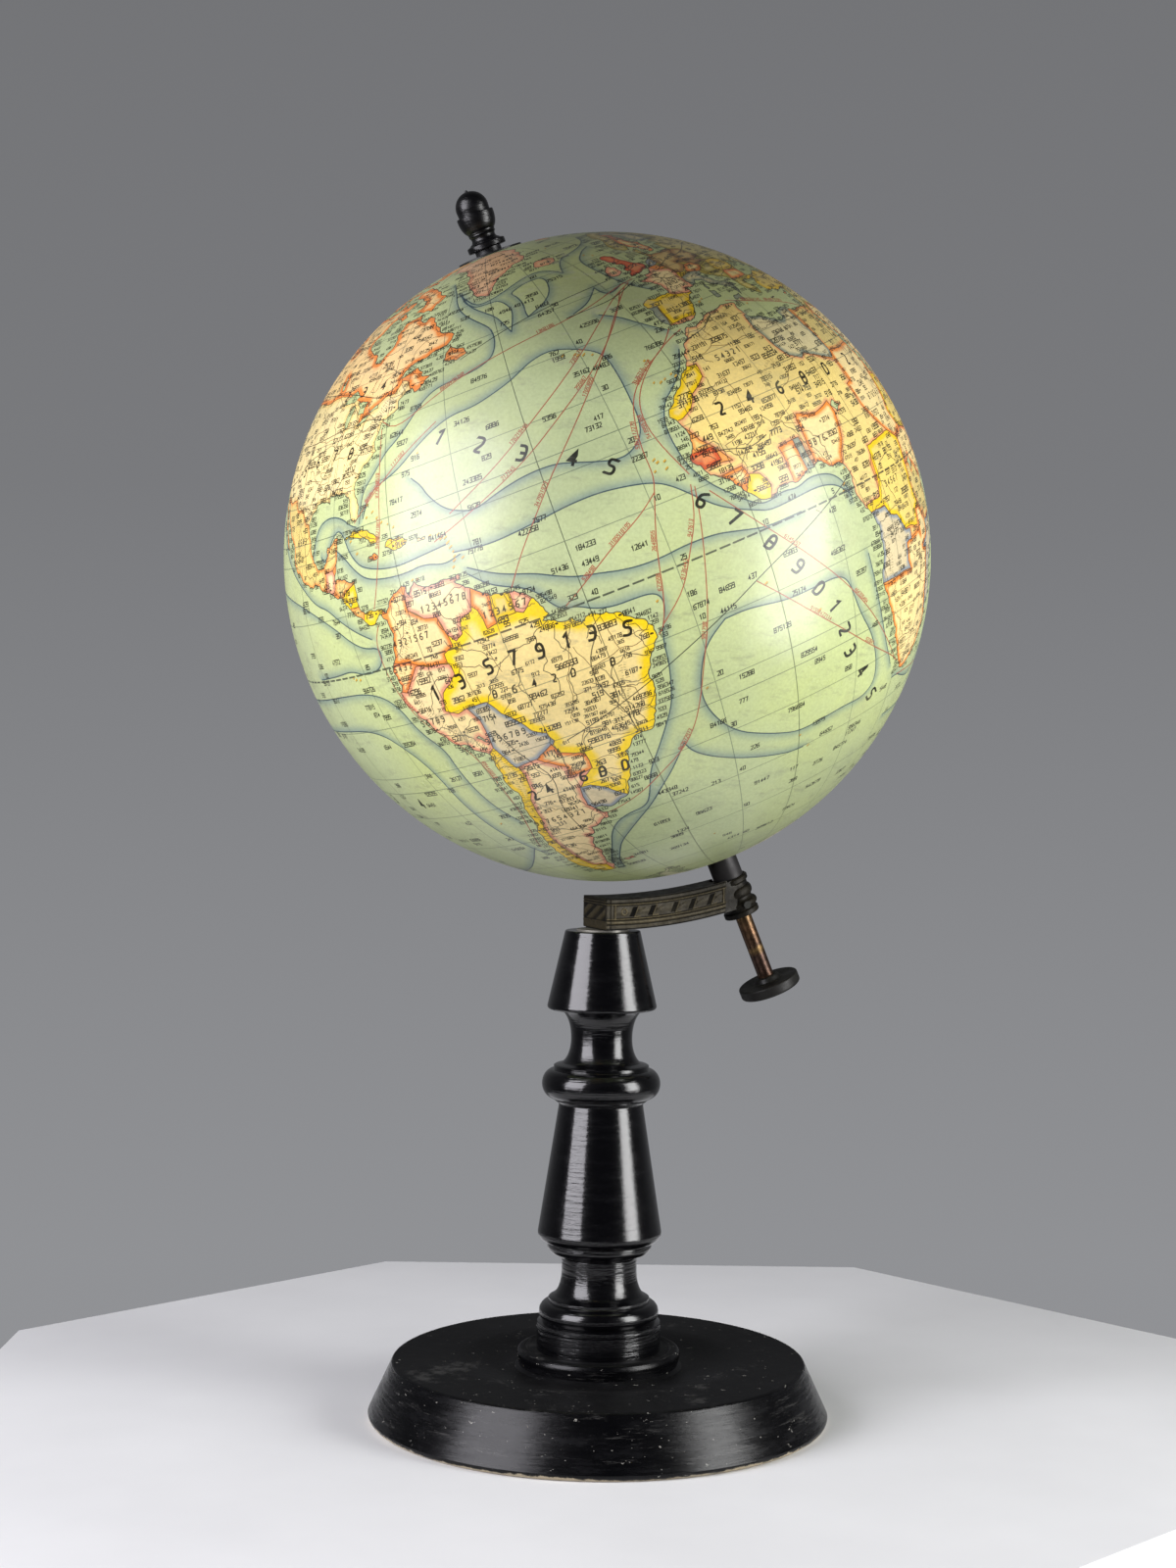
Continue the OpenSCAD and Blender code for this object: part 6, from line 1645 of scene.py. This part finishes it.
def side_relief(x, v):
    """Height above the arm's side and how rubbed it is, with shade painted into its grooves and the
    leaves' cuts, darker along its upper and lower edges and further from its blunt end: mouldings,
    and leaves between them.
    """
    h = 0.12 + 0.1 * np.clip(v / 1.7, 0, 1)
    tone = np.full(x.shape, 0.2) + 0.12 * (v < 1.7)
    for middle, half, high, rub in MOULDINGS:
        r = ridge(v - middle, half)
        h = np.maximum(h, 0.1 + high * r)
        tone = np.maximum(tone, rub * r)
    for groove in GROOVES:
        r = ridge(v - groove, 0.25)
        h = h - 0.1 * r
        tone = tone * (1 - 0.85 * r)
    field = (v > LEAF_LOW) & (v < LEAF_HIGH) & (x > LEAF_START) & (x < LEAF_END)
    h, tone = (np.where(field, leaf, rest) for leaf, rest in zip(leaves(x, v), (h, tone)))
    tone = tone * np.clip((v - 0.35) / 0.5, 0, 1) * np.clip((ARM_H - 0.35 - v) / 0.5, 0, 1)
    for post in POSTS:
        r = ridge(x - post, 0.5) * (v > 3.9) * (v < 10.3)
        h, tone = np.maximum(h, 0.1 + 0.45 * r), np.maximum(tone, 0.8 * r)
    corner = ridge(x - ARM_END - 1.6, 0.25)
    tone = tone * np.clip(1.3 - 0.018 * x, 0.65, 1)
    return h - 0.1 * corner, tone * (1 - 0.8 * corner)


def end_relief(y, v):
    """The same for the arm's blunt end, with shade painted into its grooves and between its leaves:
    a flange above and below, and slanting leaves between.
    """
    h = np.full(y.shape, 0.15)
    tone = np.full(y.shape, 0.1) + 0.25 * (v < 3.4)
    for line in END_GROOVES:
        r = ridge(v - line, 0.22)
        h, tone = h - 0.12 * r, tone * (1 - 0.9 * r)
    for line in END_RIBS:
        r = ridge(v - line, 0.2)
        h, tone = h + 0.15 * r, np.maximum(tone, 0.5 * r)
    field = (v > END_LOW) & (v < END_HIGH) & (np.abs(y) < END_HALF)
    across = (y * 0.5 + (v - (END_LOW + END_HIGH) / 2)) / 1.12
    leaf = np.maximum(ridge(across, 1.5), ridge(np.abs(across) - 4.3, 1.4))
    return np.where(field, -0.2 + 0.6 * leaf, h), np.where(field, 0.03 + 0.45 * leaf, tone)


def cast_relief(name, us, shape, spot, material):
    """A closed plate let into the arm, whose face has the relief that shape gives, and whose mask
    also holds the painted shade.
    """
    u, v = np.meshgrid(us, np.linspace(0, ARM_H, 76), indexing="ij")
    h, tone = shape(u, v)
    h = np.maximum(h, 0.03)
    soft = np.clip(np.minimum(v, ARM_H - v) / 0.5, 0, 1)
    h = h - 0.35 * (1 - np.sqrt(1 - (1 - soft) ** 2))
    n, m = u.shape
    inner_v = np.clip(v, 0.4, ARM_H - 0.4)
    front, back = (np.stack(spot(u, down, out), -1).reshape(-1, 3)
                   for down, out in ((v, h), (inner_v, np.full(u.shape, -PLATE_DEPTH))))
    i = np.arange(n * m).reshape(n, m)
    quads = np.stack([i[:-1, :-1], i[1:, :-1], i[1:, 1:], i[:-1, 1:]], -1).reshape(-1, 4)
    rim = np.concatenate([i[:-1, 0], i[-1, :-1], i[:0:-1, -1], i[0, :0:-1]])
    wall = np.stack([rim, rim + n * m, np.roll(rim, -1) + n * m, np.roll(rim, -1)], -1)
    faces = np.vstack([quads, (quads + n * m)[:, ::-1], wall])
    mesh = bpy.data.meshes.new(name)
    mesh.from_pydata((np.vstack([front, back]) / 1000).tolist(), [], faces.tolist())
    # How rubbed each point is, with painted shade near 0 in the gaps and grooves
    layer = mesh.color_attributes.new("rubbed", "FLOAT_COLOR", "POINT")
    shades = np.ones((2 * n * m, 4), np.float32)
    shades[:, :3] = np.concatenate([tone.ravel(), np.zeros(n * m)])[:, None]
    layer.data.foreach_set("color", shades.ravel())
    work = bmesh.new()
    work.from_mesh(mesh)
    bmesh.ops.recalc_face_normals(work, faces=work.faces)
    work.to_mesh(mesh)
    work.free()
    mesh.polygons.foreach_set("use_smooth", np.ones(len(faces), bool))
    mesh.materials.append(material)
    piece(name, mesh, "stand", "cast_bronze")


def arm_height(x, v):
    return ARM_CENTRE_Z - np.sqrt((ARM_BEND - v) ** 2 - x ** 2)


def side_spot(side):
    """Where a point of the relief lies on the arm's near side, -1, or on its far side, 1."""
    def spot(x, v, h):
        share = (x - ARM_END) / (ARM_REACH - ARM_END)
        half = ARM_HALF[0] + (ARM_HALF[1] - ARM_HALF[0]) * share
        return x, side * (half + h), arm_height(x, v)
    return spot


def end_spot(y, v, h):
    return ARM_END - h, y, arm_height(np.full(y.shape, ARM_END), v)


# Bronze lighter where rubbed, with painted shade in the relief's gaps and grooves
rubbed_shaded_bronze = casting("rubbed_shaded_bronze", "rubbed").material
side_xs = np.linspace(ARM_END, SIDE_END, 330)
end_ys = np.linspace(-ARM_HALF[0], ARM_HALF[0], 130)
cast_relief("arm_side_near", side_xs, side_relief, side_spot(-1), rubbed_shaded_bronze)
cast_relief("arm_side_far", side_xs, side_relief, side_spot(1), rubbed_shaded_bronze)
cast_relief("arm_end", end_ys, end_relief, end_spot, rubbed_shaded_bronze)


def dress(look, *nodes):
    for n in nodes:
        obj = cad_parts[n]
        if not obj.material_slots:
            obj.data.materials.append(look.material)
        for s in obj.material_slots:
            s.material = look.material


dress(base_lacquer(), "base_plinth")
dress(lacquer("black_lacquer", 0.16, 0.3, 0.75, 0.16, 0.5), "column")
dress(lacquer("satin_black", 0.26, 0.4, 0.1, 0.35, 0.5), "finial")
dress(casting("cast_bronze"), "arm_bracket")
dress(rod_brass(), "axle_rod")
# The plain surfaces: colour, roughness, metal, specular level and the nodes that have them
PLAIN = {
    "dark_tube": ((0.016, 0.0145, 0.015), 0.5, 0.5, 0.5, "spacer_tube"),
    "dull_brass": ((0.45, 0.3, 0.12), 0.4, 0.9, 0.5, "socket_bush", "finial_nut"),
    "steel": ((0.3, 0.3, 0.3), 0.3, 0.9, 0.5, "arm_stud"),
    "dark_screw": ((0.02, 0.02, 0.018), 0.45, 0.2, 0.06, "socket_screw"),
    "pale_washer": ((0.2, 0.19, 0.165), 0.5, 0.4, 0.5, "arm_washer"),
    "dark_wood": ((0.008, 0.0075, 0.0065), 0.5, 0, 0.25, "knob"),
    "black_plate": ((0.008, 0.008, 0.009), 0.4, 0, 0.5, "north_cap_plate"),
    "pasteboard": ((0.4, 0.34, 0.24), 0.9, 0, 0.5, "ball_upper_half", "ball_lower_half"),
    "linen": ((0.6, 0.53, 0.36), 0.9, 0, 0.5, "equator_strip"),
    "bare_wood": ((0.5, 0.33, 0.16), 0.7, 0, 0.5, "north_pole_block", "south_pole_block",
                  "inner_pillar"),
}
for name, (colour, rough_share, metal, gloss, *nodes) in PLAIN.items():
    dress(plain(name, colour, rough_share, metal, gloss), *nodes)

# The studio. The camera stands where the photograph was taken, and the angles are in degrees.
CAMERA_TURN = math.radians(22.5)
CAMERA_PLACE = (0.6, -986, 269.2)
YAW, PITCH, ROLL = (math.radians(v) for v in (-0.416, 0.994, 0.634))
FOCAL_PIXELS = 2530
PHOTO_PIXELS_HIGH = 1600
SENSOR_HIGH = 36
# The table's corners to the right of and beyond the base in millimetres, and its thickness in
# metres
TABLE_CORNERS = ((-110, 286), (131, 286), (290, 111), (290, -45), (55, -280), (-110, -280),
                 (-262, -128), (-262, 128))
TABLE_T = 0.03
# The backdrop's brightness from low to high, and the room's from behind the camera to beyond
BACKDROP = ((0.4, 0.285), (0.47, 0.245), (0.55, 0.195), (0.66, 0.172))
ROOM = ((0.0, 0.02), (0.45, 0.03), (0.75, 0.1), (1.0, 0.14))


def from_photo(x, y, z):
    """Object-frame place of a point given to the right of, beyond and above the base, in mm."""
    c, s = math.cos(CAMERA_TURN), math.sin(CAMERA_TURN)
    return Vector((x * c + y * s, -x * s + y * c, z)) / 1000


def add_object(name, data):
    obj = bpy.data.objects.new(name, data)
    bpy.context.scene.collection.objects.link(obj)
    return obj


def aimed(obj, right, up):
    turn = Matrix((right, up, right.cross(up))).transposed().to_4x4()
    obj.matrix_world = Matrix.Translation(obj.location) @ turn


def set_camera():
    level = math.cos(PITCH)
    ahead = Vector((math.sin(YAW) * level, math.cos(YAW) * level, -math.sin(PITCH)))
    right = Vector((math.cos(YAW), -math.sin(YAW), 0))
    up = right.cross(ahead)
    c, s = math.cos(ROLL), math.sin(ROLL)
    right, up = right * c + up * s, up * c - right * s
    data = bpy.data.cameras.new("camera")
    data.sensor_fit = "VERTICAL"
    data.sensor_height = SENSOR_HIGH
    data.lens = FOCAL_PIXELS / PHOTO_PIXELS_HIGH * SENSOR_HIGH
    data.clip_start, data.clip_end = 0.05, 50
    cam = add_object("camera", data)
    cam.location = from_photo(*CAMERA_PLACE)
    aimed(cam, from_photo(*right) * 1000, from_photo(*up) * 1000)
    bpy.context.scene.camera = cam


def softbox(name, place, target, width, height, power, colour=(1, 1, 1)):
    data = bpy.data.lights.new(name, "AREA")
    data.shape = "RECTANGLE"
    data.size, data.size_y = width, height
    data.energy = power
    data.color = colour
    obj = add_object(name, data)
    obj.location = from_photo(*place)
    back = (obj.location - from_photo(*target)).normalized()
    right = Vector((0, 0, 1)).cross(back).normalized()
    aimed(obj, right, back.cross(right))


def add_table():
    top = [from_photo(x, y, 0) for x, y in TABLE_CORNERS]
    low = [v - Vector((0, 0, TABLE_T)) for v in top]
    n = len(top)
    mesh = bpy.data.meshes.new("table")
    mesh.from_pydata([tuple(v) for v in top + low], [],
                     [tuple(range(n))[::-1], tuple(range(n, 2 * n))]
                     + [(i, (i + 1) % n, n + (i + 1) % n, n + i) for i in range(n)])
    mesh.update()
    k = Look("table")
    grey = k.ramp(k.noise(7, 4), (0.3, (0.76, 0.765, 0.77)), (0.7, (0.83, 0.835, 0.84)))
    k.put(Base_Color=grey, Roughness=0.6)
    mesh.materials.append(k.material)
    add_object("table", mesh)


def set_world():
    """A grey backdrop to the camera; to the object, a dim room that is dark behind the camera."""
    world = bpy.data.worlds.new("studio")
    bpy.context.scene.world = world
    world.use_nodes = True
    k = Nodes(world.node_tree)
    view = k.node("TexCoord").outputs["Generated"]

    def shades(direction, stops):
        """Light whose brightness follows how far a view leans towards a direction."""
        lean = k.span(k.dot(view, direction), -1, 1)
        colour = k.ramp(lean, *((at, (c * 0.985, c, c * 1.05)) for at, c in stops))
        return k.node("Background", {0: colour}).outputs[0]

    beyond = from_photo(0, 1000, 0).normalized()
    pick = k.node("MixShader", {0: k.node("LightPath").outputs["Is Camera Ray"],
                                1: shades(beyond, ROOM), 2: shades((0, 0, 1), BACKDROP)})
    k.node("OutputWorld", {0: pick.outputs[0]})


set_camera()
add_table()
set_world()
softbox("key_left", (-900, -640, 560), (0, 0, 300), 0.82, 1.05, 23, (1, 0.98, 1.05))
softbox("fill_right", (900, -440, 360), (0, 0, 300), 0.45, 0.9, 15)
bpy.context.scene.view_settings.view_transform = "Standard"
